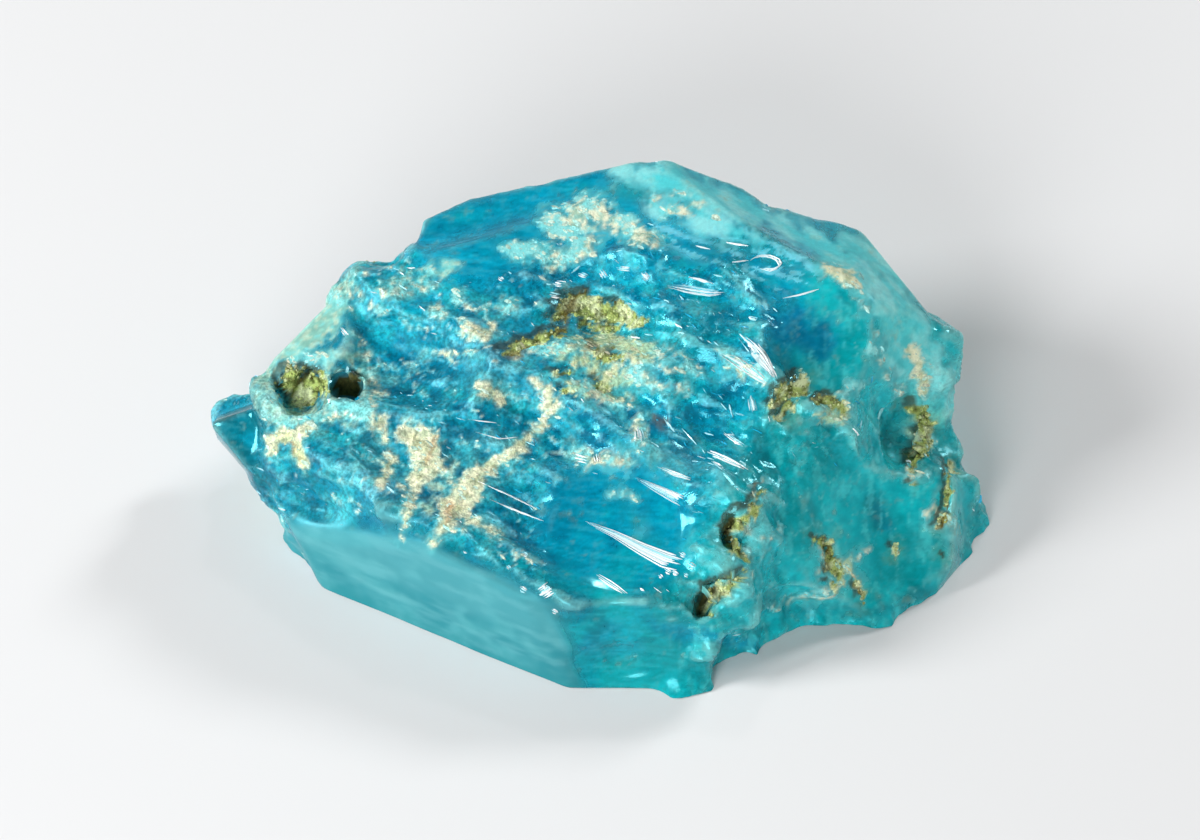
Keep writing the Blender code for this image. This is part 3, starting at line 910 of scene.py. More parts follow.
def paint(mesh):
    """Works out the stone's colour, clearness and gloss at each point."""
    points, normals = arrays(mesh)
    tree = BVHTree.FromPolygons(
        [Vector(p) for p in points], [tuple(f.vertices) for f in mesh.polygons]
    )
    bent = wobble(points)
    rough = roughness(points)
    facet = 1 - smoothstep(
        np.abs((points - (-7.0, -9.12, 0.0)) @ np.array(direction(-118, 5))), 0.25, 0.7
    )
    toe = smoothstep(-points[:, 0], 15.8, 16.4) * smoothstep(-points[:, 1], 0.4, 1.0)
    facet = np.maximum(facet, toe * (1 - smoothstep(points[:, 2], 2.0, 3.0)))
    crust = marks(bent, tree, CRUST, 4.5)
    olive = marks(bent, tree, OLIVE, 3)
    crust = np.maximum(crust, hidden_spots(bent, normals, 41, 40, (0.3, 1.7)))
    olive = np.maximum(olive, hidden_spots(bent, normals, 42, 22, (0.25, 0.9)))
    pale = marks(bent, tree, PALE, 15)
    deep = marks(bent, tree, DEEP, 6)
    frame = marks(bent, tree, FRAME, 7)
    crest = marks(bent, tree, RIDGE, 9)
    dark = marks(bent, tree, DARK, 9)
    swept = marks(bent, tree, SWEPT, 7)
    hole = marks(points, tree, HOLE, 2)
    rust = marks(bent, tree, RUST_AND_SHADE, 3)
    solid = marks(bent, tree, CREAM, 4)
    tinge = marks(bent, tree, OLIVE, 12)
    moss = marks(bent, tree, MOSS, 6)
    # painted shadow: the upper left border of each olive patch, darkened as if shaded by the pit's rim
    beside = bent + np.array([0.32, 0, 0]) - 0.30 * UP
    shaded = np.clip(1.6 * (marks(beside, tree, OLIVE, 2) - olive), 0, 1) * (normals @ TOWARD > 0.1)
    big, mid, fine, grit = (
        get_attribute(mesh, "tone_" + x) for x in ("big", "mid", "fine", "grit")
    )
    ridge_mid, ridge_fine = (get_attribute(mesh, "ridge_" + x) for x in ("mid", "fine"))

    slant = dict(stretch=(3.2, 0.8, 1.0), turn=math.radians(-35))
    broad = cloud(points, 5.0, 2, 51)
    mottle = cloud(points, 1.1, 4, 52)
    streak = cloud(points, 0.9, 4, 53, **slant)
    speck = cloud(points, 0.42, 2, 54)
    run = cloud(points, 1.6, 4, 56, stretch=(0.7, 2.0, 2.0))
    haze = cloud(points, 3.2, 3, 57)
    left = 1 - smoothstep(points[:, 0], -6, 2)
    right = smoothstep(points[:, 0] - 0.45 * points[:, 1], 7.0, 10.5)
    # painted reflection: upper faces that the front view at 48 degrees meets edge-on are painted paler, like a
    # grazing reflection
    rim = smoothstep(0.30 - normals @ TOWARD, 0.0, 0.35) * smoothstep(points[:, 2], 3.0, 6.0)
    blue = smoothstep(deep, 0.15, 0.8)
    edge = smoothstep(bulge(mesh, points, normals, 10), 0.012, 0.06)
    edge *= smoothstep(points[:, 2], 0.6, 1.6)

    # clear ground: each scoop has a tone of its own
    tone = 0.24 * big + 0.28 * mid + 0.28 * fine + 0.20 * grit
    tone = (tone - 0.5) * (1.7 - 0.8 * right) * (0.2 + 0.8 * rough) + 0.5 + 0.5 * (mottle - 0.5)
    tone = np.clip(tone, 0, 1)
    ground = blend((0.001, 0.36, 0.61), (0.002, 0.66, 0.95), smoothstep(tone, 0.05, 0.55))
    ground = blend(ground, (0.010, 0.86, 1.0), smoothstep(tone, 0.55, 1.0))
    ground = ground * (1 - 0.12 * left)[:, None]
    teal = blend((0.002, 0.52, 0.58), (0.008, 0.76, 0.80), 0.5 * mottle + 0.5 * run)
    teal = teal * (0.78 + 0.40 * smoothstep(0.5 * broad + 0.5 * haze, 0.3, 0.7))[:, None]
    lobe = smoothstep(-points[:, 1], 8.2, 10.4) * smoothstep(points[:, 0], -4.5, -2.0)
    toward_teal = 0.6 * lobe + np.clip(right + 0.5 * smoothstep(broad, 0.55, 0.8) * (1 - left), 0, 1)
    ground = blend(ground, teal, toward_teal)
    ground = blend(ground, (0.0005, 0.44, 0.70), 0.7 * blue)
    bowl = smoothstep(points[:, 0], 6, 8) * smoothstep(points[:, 1], 2, 4)
    tip = 1 - smoothstep(points[:, 0], -17.5, -15)
    depth = blend((0.001, 0.27, 0.33), (0.001, 0.22, 0.46), bowl)
    depth = blend(depth, (0.001, 0.20, 0.25), tip)
    # dark teal; at the crevice near the middle it is painted shade
    ground = blend(ground, depth, 0.75 * smoothstep(dark + 0.5 * (mottle - 0.5), 0.1, 0.8))

    # pale veils, frost, the worn edges of the scoops, and a painted reflection along the ridge and the rims
    veil = smoothstep(0.55 * mottle + 0.45 * streak + 0.10 * (left - 0.5), 0.52, 0.74)
    veil *= rough * (1 - 0.85 * blue) * (1 - 0.75 * right) * (1 - 0.7 * dark)
    worn = np.maximum(0.8 * ridge_mid, 0.6 * ridge_fine) * rough * smoothstep(mottle, 0.3, 0.65)
    veil = np.maximum(veil, worn * (1 - 0.5 * blue) * (1 - 0.7 * right))
    colour = blend(ground, (0.05, 0.62, 0.70), 0.60 * veil)
    frost = smoothstep(pale + 0.6 * (run - 0.5) + 0.5 * (haze - 0.5), 0.1, 1.2)
    frost *= (1 - 0.55 * right) * (1 - dark)
    misty = blend((0.03, 0.48, 0.52), (0.16, 0.64, 0.64), smoothstep(haze, 0.25, 0.8))
    colour = blend(colour, misty, 0.62 * frost)
    # the band is frosting with a painted reflection along the ridge; the rims' share of it is a painted grazing
    # reflection
    band = smoothstep(crest + 0.35 * (run - 0.5) + 0.3 * (mottle - 0.5), 0.1, 0.75)
    band = np.maximum(band, 0.7 * rim * smoothstep(points[:, 0], -6, 4))
    glow = blend((0.10, 0.60, 0.62), (0.30, 0.74, 0.72), smoothstep(0.5 * haze + 0.5 * streak, 0.35, 0.7))
    colour = blend(colour, glow, 0.85 * band)
    colour = blend(colour, (0.05, 0.48, 0.55), 0.5 * rim * (1 - band))
    sweep = cloud(points, 0.65, 4, 66, stretch=(4.0, 0.6, 0.6), turn=math.radians(-24))
    swept = smoothstep(swept, 0.05, 0.6) * smoothstep(sweep + 0.3 * (mottle - 0.5), 0.44, 0.72)
    colour = blend(colour, (0.24, 0.66, 0.78), 0.75 * swept * (1 - band))
    mount = smoothstep(frame + 0.5 * (mottle - 0.5) + 0.4 * (speck - 0.5), 0.15, 0.75)
    colour = blend(colour, (0.22, 0.44, 0.34), 0.9 * mount)
    colour = blend(colour, (0.42, 0.56, 0.42), 0.8 * mount * smoothstep(speck, 0.45, 0.7))
    vein = smoothstep(1 - np.abs(2 * cloud(points, 2.4, 3, 58) - 1), 0.92, 1.0)
    vein *= right * smoothstep(mottle, 0.35, 0.6)
    colour = blend(colour, (0.20, 0.66, 0.62), 0.55 * vein)
    wisp = smoothstep(cloud(points, 0.8, 4, 63, stretch=(0.6, 1.6, 2.2)), 0.52, 0.8) * right
    colour = blend(colour, (0.10, 0.64, 0.64), 0.5 * wisp)
    ripple = smoothstep(cloud(points, 0.45, 2, 64), 0.35, 0.65) * right
    colour = colour * (0.90 + 0.14 * ripple + 0.10 * (1 - right))[:, None]
    colour = blend(colour, (0.20, 0.50, 0.28), 0.55 * right * smoothstep(tinge + 0.5 * (mottle - 0.5), 0.15, 0.85))
    colour = blend(colour, (0.42, 0.80, 0.72), 0.65 * edge * (1 - 0.6 * dark) * (1 - 0.5 * rough))

    # the broad face at the front is satin, with soft streaks along it
    lengthwise = dict(stretch=(3.5, 0.7, 0.7), turn=math.radians(-32))
    facing = blend((0.035, 0.28, 0.33), (0.078, 0.38, 0.42), smoothstep(cloud(points, 3.0, 3, 61), 0.3, 0.7))
    satin = cloud(points, 1.1, 3, 62, **lengthwise)
    facing = blend(facing, (0.19, 0.54, 0.58), 0.32 * smoothstep(satin, 0.45, 0.9))
    facing = blend(facing, (0.03, 0.28, 0.33), 0.4 * smoothstep(-satin, -0.45, -0.2))
    upper = smoothstep(points[:, 2] + 0.6 * (haze - 0.5), 2.2, 3.6)
    facing = blend(facing, (0.15, 0.48, 0.52), 0.32 * upper)
    foot = 1 - smoothstep(points[:, 2] + 0.9 * (mottle - 0.5), 0.0, 1.2)
    facing = blend(facing, (0.02, 0.27, 0.31), 0.6 * foot)
    colour = blend(colour, facing, facet)

    # fine parallel growth lines on the smooth, clear faces
    lines = cloud(points, 0.42, 3, 65, stretch=(7.0, 0.55, 0.55), turn=math.radians(-12))
    smooth = (1 - rough) * (1 - facet) * (1 - 0.6 * right) * (1 - band)
    colour = colour * (1 + 0.28 * (smoothstep(lines, 0.25, 0.75) - 0.5) * smooth)[:, None]
    colour = blend(colour, (0.10, 0.62, 0.70), 0.30 * smooth * smoothstep(lines, 0.66, 0.85))
    colour = colour * (1 - 0.40 * tip * smoothstep(dark, 0.1, 0.6) - 0.06 * lobe)[:, None]

    # crust, grains and stains; painted shade along the olive patches and in the holes
    ragged = 0.5 * (mottle - 0.5) + 0.6 * (speck - 0.5) + 0.7 * (streak - 0.5)
    scale = smoothstep(crust + ragged, 0.36, 0.86) * smoothstep(crust, 0.02, 0.25)
    scale = np.maximum(scale, 0.8 * smoothstep(streak + 0.5 * (speck - 0.5), 0.82, 0.98) * left * rough)
    halo = smoothstep(crust + 0.8 * (mottle - 0.5), 0.05, 0.5) * smoothstep(crust, 0.0, 0.1)
    loose = smoothstep(0.5 * streak + 0.5 * speck, 0.66, 0.80) * rough
    loose *= (0.35 + 0.65 * left) * (1 - blue) * (1 - right) * (1 - dark)
    cream = blend((0.30, 0.48, 0.36), (0.74, 0.76, 0.56), smoothstep(speck, 0.3, 0.75))
    cream = blend(cream, (0.16, 0.62, 0.64), 0.85 * smoothstep(0.6 * mottle + 0.4 * streak, 0.46, 0.64))
    colour = blend(colour, (0.14, 0.62, 0.63), 0.55 * halo)
    colour = blend(colour, (0.45, 0.70, 0.62), 0.65 * loose)
    core = smoothstep(solid + 0.4 * (speck - 0.5) + 0.3 * (streak - 0.5), 0.4, 0.75)
    thick = blend((0.56, 0.56, 0.30), (0.84, 0.82, 0.54), smoothstep(speck, 0.3, 0.65))
    cream = blend(cream, thick, 0.85 * core)
    cream = blend(cream, (0.48, 0.54, 0.20), 0.55 * smoothstep(moss + 0.5 * (speck - 0.5), 0.25, 0.8))
    scale = np.maximum(scale, 0.9 * core)
    colour = blend(colour, cream, scale)
    # orange stains, and painted shade where the marks lie along the olive patches' upper left edges
    stain_and_shade = smoothstep(rust, 0.3, 0.9) * (0.35 + 0.5 * speck)
    colour = blend(colour, (0.46, 0.20, 0.06), stain_and_shade)
    grains = smoothstep(olive + 0.6 * (speck - 0.5) + 0.3 * (mottle - 0.5), 0.34, 0.60)
    grains *= smoothstep(olive, 0.02, 0.2)
    green = blend((0.07, 0.08, 0.005), (0.42, 0.52, 0.15), smoothstep(speck, 0.3, 0.65))
    green = blend(green, (0.66, 0.74, 0.42), smoothstep(mottle, 0.52, 0.75))
    colour = blend(colour, green, grains)
    # dark brown on the grains under these marks: stains, and painted shade at the olive patches' upper left edges
    colour = blend(colour, (0.18, 0.11, 0.01), 0.75 * grains * smoothstep(rust, 0.25, 0.8))
    # painted shadow along the olive patches' upper left edges
    colour = blend(colour, (0.07, 0.05, 0.008), 0.8 * smoothstep(shaded, 0.35, 0.8))
    # painted shade in the mouths of the holes, over an olive-brown floor
    mouth = smoothstep(hole, 0.2, 0.6)
    colour = blend(colour, blend((0.03, 0.025, 0.003), (0.10, 0.09, 0.02), speck), mouth)

    body = 0.22 + 0.18 * rough * mottle + 0.12 * smooth
    body = body + right * (0.48 - body)
    body = body + smoothstep(dark, 0.2, 0.8) * (0.42 + 0.15 * tip - body)
    for share, amount in (
        (veil, 0.50),
        (frost, 0.60),
        (rim, 0.65),
        (band, 0.85),
        (swept, 0.7),
        (mount, 0.97),
        (edge, 0.6),
        (facet, 0.72),
        (vein, 0.6),
        (wisp, 0.6),
        (right * smoothstep(tinge, 0.2, 0.9), 0.7),
        (halo, 0.5),
        (loose, 0.85),
        (scale, 0.95),
        (grains, 0.97),
        (mouth, 1.0),
    ):
        body = np.maximum(body, share * amount)
    gloss = 0.10 + 0.20 * rough * smoothstep(mottle, 0.35, 0.7)
    for share, amount in (
        (left * rough, 0.32),
        (frost, 0.36),
        (facet, 0.45),
        (rim, 0.45),
        (band, 0.5),
        (swept, 0.4),
        (mount, 0.6),
        (veil, 0.34),
        (halo, 0.45),
        (scale, 0.75),
        (grains, 0.85),
        (mouth, 0.9),
    ):
        gloss = gloss + np.clip(share, 0, 1) * (amount - gloss)

    tint = mesh.attributes.new("tint", "FLOAT_COLOR", "POINT")
    tint.data.foreach_set("color", np.c_[colour, np.ones(len(colour))].astype(np.float32).ravel())
    set_attribute(mesh, "clear", 1 - np.clip(body, 0, 1))
    set_attribute(mesh, "gloss", gloss)
    set_attribute(mesh, "grit", np.maximum(0.6 * scale, grains) + 0.12 * rough)
    speckle = np.clip(0.25 + 0.75 * rough + 0.35 * left * rough, 0, 1.3)
    set_attribute(mesh, "speckle", speckle * (1 - facet) * (1 - 0.5 * right))
    masks = dict(scale=scale, grains=grains, rough=rough, blue=blue, right=right, left=left)
    masks.update(colour=colour, facet=facet, veil=veil, rim=rim, loose=loose, rust=rust, mouth=mouth, dark=dark)
    return points, normals, tree, masks


# ---------------------------------------------------------------------------
# Small things on the stone: grains, crumbs of crust, splinters and painted glints
# ---------------------------------------------------------------------------
def polyhedron(level):
    bm = bmesh.new()
    bmesh.ops.create_icosphere(bm, subdivisions=level, radius=1)
    verts = np.array([v.co[:] for v in bm.verts])
    faces = [[v.index for v in f.verts] for f in bm.faces]
    bm.free()
    return verts, faces


def lumps(name, spots, points, normals, under, level, size, shape, lift, colours, seed, grain=None):
    """Small lumps set in the surface at these spots.

    The shape scales each lump along the surface, across it and out of it; the
    lift is how far out its middle sits, as a share of its own height. Each
    lump takes part of its colour from the stone under it, painted shade
    included. Lumps with a grain lie roughly along that direction.
    """
    rng = np.random.RandomState(seed)
    ball_verts, ball_faces = polyhedron(level)
    verts, faces, tints = [], [], []
    for i in spots:
        normal = normals[i] / np.linalg.norm(normals[i])
        turn = rng.uniform(-1, 1, 3)
        if grain is not None:
            turn = np.cross(grain, normal) + 0.45 * turn
        along = np.cross(normal, turn)
        along /= np.linalg.norm(along)
        across = np.cross(normal, along)
        radius = size[0] + (size[1] - size[0]) * rng.uniform() ** 1.8
        a, b, c = radius * np.array(shape) * rng.uniform(0.7, 1.15, 3)
        local = ball_verts * (1 + rng.uniform(-0.22, 0.22, (len(ball_verts), 1)))
        local = local * (a, b, c)
        local += rng.uniform(-0.08, 0.08, local.shape) * radius
        centre = points[i] + normal * (lift * c)
        start = len(verts) * len(ball_verts)
        verts.append(centre + local @ np.array([along, across, normal]))
        faces += [[start + k for k in f] for f in ball_faces]
        share = rng.uniform()
        tone = blend(colours[0], colours[1], np.array([share]))[0]
        if rng.uniform() < colours[3]:
            tone = np.array(colours[2])
        tone = 0.5 * tone + 0.5 * under[i]
        tints.append(np.tile(tone * rng.uniform(0.8, 1.15), (len(ball_verts), 1)))
    return small_piece(name, np.concatenate(verts), faces, np.concatenate(tints))


def small_piece(name, verts, faces, tints):
    verts = np.clip((verts + SHIFT) * MM, np.array(CAD_LOW) + 4e-6, np.array(CAD_HIGH) - 4e-6)
    mesh = bpy.data.meshes.new(name)
    mesh.from_pydata([tuple(v) for v in verts], [], faces)
    mesh.update()
    tint = mesh.attributes.new("tint", "FLOAT_COLOR", "POINT")
    tints = np.c_[np.clip(tints, 0, 1), np.ones(len(tints))]
    tint.data.foreach_set("color", tints.astype(np.float32).ravel())
    obj = bpy.data.objects.new(name, mesh)
    bpy.context.scene.collection.objects.link(obj)
    return obj


def outward(obj):
    """Turns every face of the closed shells outwards."""
    bm = bmesh.new()
    bm.from_mesh(obj.data)
    bmesh.ops.recalc_face_normals(bm, faces=bm.faces[:])
    bm.to_mesh(obj.data)
    bm.free()
    return obj


class Blades:
    """Long, thin splinters lying on the stone, each a closed tapered prism."""

    def __init__(self):
        self.verts, self.faces, self.tints = [], [], []

    def add(self, spine, normals, widths, height, tint, bury=0.05):
        """A blade along the spine: two feet in the stone and a ridge above."""
        spine, normals = np.array(spine), np.array(normals)
        start = len(self.verts)
        last = len(spine) - 1
        for k, (p, n) in enumerate(zip(spine, normals)):
            run = spine[min(k + 1, last)] - spine[max(k - 1, 0)]
            side = np.cross(n, run)
            side /= max(np.linalg.norm(side), 1e-9)
            w = widths[k]
            self.verts += [p - side * w - n * bury, p + side * w - n * bury, p + n * height * min(1, w / 0.05)]
            self.tints += [tint] * 3
        for k in range(last):
            a, b = start + 3 * k, start + 3 * k + 3
            for i, j in ((0, 1), (1, 2), (2, 0)):
                self.faces.append([a + i, a + j, b + j, b + i])
        self.faces.append([start + 2, start + 1, start])
        end = start + 3 * last
        self.faces.append([end, end + 1, end + 2])

    def piece(self, name):
        return outward(small_piece(name, np.array(self.verts), self.faces, np.array(self.tints)))


def drape(tree, places):
    """Where a line of picture places lies on the stone; None if it misses."""
    spots, ways = [], []
    for px, py in places:
        hit, normal = seat(tree, px, py)
        if hit is None:
            return None
        spots.append(np.array(hit))
        ways.append(np.array(normal))
    for a, b in zip(spots, spots[1:]):
        if np.linalg.norm(a - b) > 1.2:
            return None
    return spots, ways


def fans(tree, strokes):
    """The bright splinter fans and painted glints, drawn from their thin end to their wide end."""
    rng = np.random.RandomState(71)
    blades = Blades()
    bright = np.array((0.93, 0.97, 0.98))
    aqua = np.array((0.42, 0.82, 0.90))
    for stroke in strokes:
        if len(stroke) == 1:
            (x, y, h), = stroke
            stroke = [(x - 1.2 * h, y - 0.8 * h, 0.5 * h), (x, y, h), (x + 1.2 * h, y + 0.8 * h, 0.6 * h)]
        line = np.array(stroke, float)
        gaps = np.r_[0, np.cumsum(np.hypot(*np.diff(line[:, :2], axis=0).T))]
        widest = line[:, 2].max()
        count = max(1, int(round(widest * 1.5)))
        for j in range(-1, count):
            sheet = j < 0
            if sheet and count < 2:
                continue
            lane = 0 if sheet or count == 1 else 2 * j / (count - 1) - 1
            begin = 0 if sheet or count == 1 else rng.uniform(0, 0.35)
            end = 0.92 if sheet else rng.uniform(0.85, 1.05) if count > 1 else 1
            t = np.linspace(begin, min(end, 1), max(4, int(gaps[-1] / 3.0))) * gaps[-1]
            x = np.interp(t, gaps, line[:, 0])
            y = np.interp(t, gaps, line[:, 1])
            h = np.interp(t, gaps, line[:, 2])
            run = np.array([x[-1] - x[0], y[-1] - y[0]])
            run /= max(np.hypot(*run), 1e-9)
            off = lane * h * 0.8 + (0 if sheet else rng.uniform(-0.2, 0.2))
            places = list(zip(x - run[1] * off, y + run[0] * off))
            found = drape(tree, places)
            if found is None:
                continue
            share = np.linspace(0, 1, len(places))
            shape = np.minimum(1, 0.30 + 1.6 * share) * np.where(share > 0.97, 0.35, 1)
            if sheet:
                blades.add(*found, 0.1 * np.maximum(0.85 * h, 0.4) * shape, 0.03, (0.66, 0.90, 0.94))
                continue
            wide = 0.1 * np.clip(1.25 * h / count, 0.45, 1.6)
            tone = bright if rng.uniform() < 0.78 else aqua
            blades.add(*found, wide * shape * rng.uniform(0.8, 1.15), rng.uniform(0.05, 0.11), tone)
    return blades


def scatter_blades(blades, points, normals, masks, count, seed):
    """Small splinters strewn over the hackly ground, along its grain; the white ones are partly painted glints."""
    rng = np.random.RandomState(seed)
    weight = masks["rough"] * (1 - masks["scale"]) * (1 - masks["grains"])
    weight *= (1 - 0.85 * masks["right"]) * (1 - masks["facet"]) * (points[:, 2] > 0.8)
    weight *= (1 - 0.6 * masks["left"]) * (1 - 0.8 * masks["dark"]) * (1 - 0.5 * masks["blue"])
    grain = np.array([math.cos(math.radians(-35)), math.sin(math.radians(-35)), 0.0])
    for i in rng.choice(len(points), count, p=weight / weight.sum()):
        normal = normals[i] / np.linalg.norm(normals[i])
        way = grain + rng.normal(0, 0.28, 3)
        along = way - normal * (way @ normal)
        along /= np.linalg.norm(along)
        size = 0.14 + 0.42 * rng.uniform() ** 2.5
        spine = [points[i] + along * size * t for t in (-0.5, 0.0, 0.5)]
        wide = size * rng.uniform(0.10, 0.20)
        tones = ((0.85, 0.93, 0.94), (0.40, 0.82, 0.90), (0.01, 0.42, 0.66))
        tone = tones[rng.choice(3, p=(0.20, 0.45, 0.35))]
        widths = (0.3 * wide, wide, 0.5 * wide)
        blades.add(spine, [normal] * 3, widths, rng.uniform(0.03, 0.10), tone, bury=0.06)


def veils(tree, places):
    """Thin, curved, ragged lenses inside the stone, each a closed shell."""
    rings, spokes = 6, 28
    verts, faces, tints = [], [], []
    for k, (px, py, deep, half_length, half_width, lean) in enumerate(places):
        hit, normal = seat(tree, px, py)
        if hit is None:
            continue
        rng = np.random.RandomState(300 + k)
        centre = np.array(hit) - np.array(normal) * deep
        bearing = direction(-35 + rng.uniform(-25, 25), 0)
        along = Vector(bearing - normal * bearing.dot(normal)).normalized()
        across = normal.cross(along)
        flat = normal * math.cos(math.radians(lean)) + across * math.sin(math.radians(lean))
        axes = np.array([along, flat.cross(along), flat])
        for shrink in (1.0, 0.75, 0.55, 0.4):
            local = []
            for side in (1, -1):
                for i in range(rings + 1):
                    far = i / rings
                    for j in range(spokes if i else 1):
                        turn = 2 * math.pi * j / spokes
                        edge = 1 + 0.22 * noise.noise((math.cos(turn) * 1.6 + k, math.sin(turn) * 1.6, 3.3))
                        a = half_length * shrink * far * edge * math.cos(turn)
                        b = half_width * shrink * far * edge * math.sin(turn)
                        c = 0.22 * half_width * (1 - far * far) + 0.10 * noise.noise((a * 2, b * 2, k * 3.1))
                        local.append((a, b, c + side * 0.012 * (1.05 - far * far)))
            shape = centre + np.array(local) @ axes
            buried = True
            for p in shape[::5]:
                near, way, _, _ = tree.find_nearest(Vector(p))
                if (Vector(p) - near).dot(way) > -0.12:
                    buried = False
                    break
            if buried:
                break
        if not buried:
            continue
        start, sheet = len(verts), 1 + rings * spokes
        verts += list(shape)
        tints += [(0.62, 0.94, 0.97)] * len(shape)
        for side in (0, 1):
            base = start + side * sheet

            def at(i, j):
                return base if i == 0 else base + 1 + (i - 1) * spokes + j % spokes

            for j in range(spokes):
                rim = [[at(0, 0), at(1, j), at(1, j + 1)]]
                rim += [[at(i, j), at(i + 1, j), at(i + 1, j + 1), at(i, j + 1)] for i in range(1, rings)]
                faces += rim if side == 0 else [f[::-1] for f in rim]
        last = start + 1 + (rings - 1) * spokes
        for j in range(spokes):
            a, b = last + j, last + (j + 1) % spokes
            faces.append([a, a + sheet, b + sheet, b])
    return outward(small_piece("sealed_veils", np.array(verts), faces, np.array(tints)))


stone_mesh = make_stone()
points, normals, tree, masks = paint(stone_mesh)
SHIFT = np.array([*ORIGIN_SHIFT, 0.0])
high_enough = points[:, 2] > 0.35

rng = np.random.RandomState(5)
weight = (masks["grains"] > 0.5) * high_enough * 1.0
grains = lumps(
    "olive_grains",
    rng.choice(len(points), 1700, p=weight / weight.sum()),
    points, normals, masks["colour"], 2, (0.04, 0.14), (1.0, 0.85, 0.75), -0.15,
    ((0.09, 0.08, 0.006), (0.44, 0.53, 0.15), (0.68, 0.76, 0.42), 0.30), 11,
)
weight = np.clip(masks["scale"] - 0.3, 0, 1) * high_enough * (1 - masks["facet"])
crumbs = lumps(
    "crust_flakes",
    rng.choice(len(points), 1700, p=weight / weight.sum()),
    points, normals, masks["colour"], 1, (0.04, 0.17), (2.0, 0.8, 0.12), 0.0,
    ((0.52, 0.54, 0.38), (0.78, 0.76, 0.56), (0.30, 0.70, 0.70), 0.4), 12,
    np.array([math.cos(math.radians(-35)), math.sin(math.radians(-35)), 0.0]),
)
# white splinters, with white marks painted where the stone shows glints
blades = fans(tree, SPLINTERS_AND_GLINTS)
scatter_blades(blades, points, normals, masks, 850, 13)
splinters_and_glints = blades.piece("splinters_and_glints")
cracks = veils(tree, VEILS)

put(stone_mesh, (points + SHIFT) * MM)
stone_mesh.shade_smooth()
stone_mesh.set_sharp_from_angle(angle=math.radians(30))
stone = bpy.data.objects.new("topaz_body", stone_mesh)
bpy.context.scene.collection.objects.link(stone)


# ---------------------------------------------------------------------------
# Materials
# ---------------------------------------------------------------------------
class Nodes:
    """Short names for building a node tree."""

    def __init__(self, material):
        material.use_nodes = True
        self.tree = material.node_tree
        self.tree.nodes.clear()

    def add(self, kind, **values):
        node = self.tree.nodes.new(kind)
        for key, value in values.items():
            setattr(node, key, value)
        return node

    def link(self, a, b):
        self.tree.links.new(a, b)

    def feed(self, socket, value):
        if isinstance(value, bpy.types.NodeSocket):
            self.link(value, socket)
        elif isinstance(value, (tuple, list)) and len(value) == 3 and socket.type == "RGBA":
            socket.default_value = (*value, 1.0)
        else:
            socket.default_value = value

    def attribute(self, name):
        return self.add("ShaderNodeAttribute", attribute_name=name).outputs["Fac"]

    def math(self, operation, a, b=0.0, c=None, clamp=False):
        node = self.add("ShaderNodeMath", operation=operation, use_clamp=clamp)
        self.feed(node.inputs[0], a)
        self.feed(node.inputs[1], b)
        if c is not None:
            self.feed(node.inputs[2], c)
        return node.outputs[0]

    def ramp(self, value, low, high, to_low=0.0, to_high=1.0):
        node = self.add("ShaderNodeMapRange", interpolation_type="SMOOTHSTEP")
        self.feed(node.inputs["Value"], value)
        for key, number in (
            ("From Min", low),
            ("From Max", high),
            ("To Min", to_low),
            ("To Max", to_high),
        ):
            self.feed(node.inputs[key], number)
        return node.outputs["Result"]

    def mix(self, share, a, b, blend="MIX"):
        node = self.add("ShaderNodeMix", data_type="RGBA", blend_type=blend)
        self.feed(node.inputs["Factor"], share)
        self.feed(node.inputs[6], a)
        self.feed(node.inputs[7], b)
        return node.outputs[2]

    def noise(self, where, scale, detail=3.0, roughness=0.55, distortion=0.0):
        node = self.add("ShaderNodeTexNoise")
        self.feed(node.inputs["Vector"], where)
        node.inputs["Scale"].default_value = scale
        node.inputs["Detail"].default_value = detail
        node.inputs["Roughness"].default_value = roughness
        node.inputs["Distortion"].default_value = distortion
        return node.outputs["Fac"]

    def vector(self, operation, a, b=None, scale=None):
        node = self.add("ShaderNodeVectorMath", operation=operation)
        self.feed(node.inputs[0], a)
        if b is not None:
            self.feed(node.inputs[1], b)
        if scale is not None:
            self.feed(node.inputs["Scale"], scale)
        return node.outputs["Value" if operation in ("DOT_PRODUCT", "LENGTH") else "Vector"]

    def facets(self, where, scale):
        """A height that is flat, and tilted by chance, in each cell."""
        cell = self.add("ShaderNodeTexVoronoi", feature="F1")
        self.feed(cell.inputs["Vector"], where)
        cell.inputs["Scale"].default_value = scale
        away = self.vector("SUBTRACT", where, cell.outputs["Position"])
        tilt = self.vector("SUBTRACT", cell.outputs["Color"], (0.5, 0.5, 0.5))
        return self.vector("DOT_PRODUCT", away, tilt), cell.outputs["Color"]


def millimetres(n):
    where = n.add("ShaderNodeTexCoord").outputs["Object"]
    return n.vector("SCALE", where, scale=1000.0)


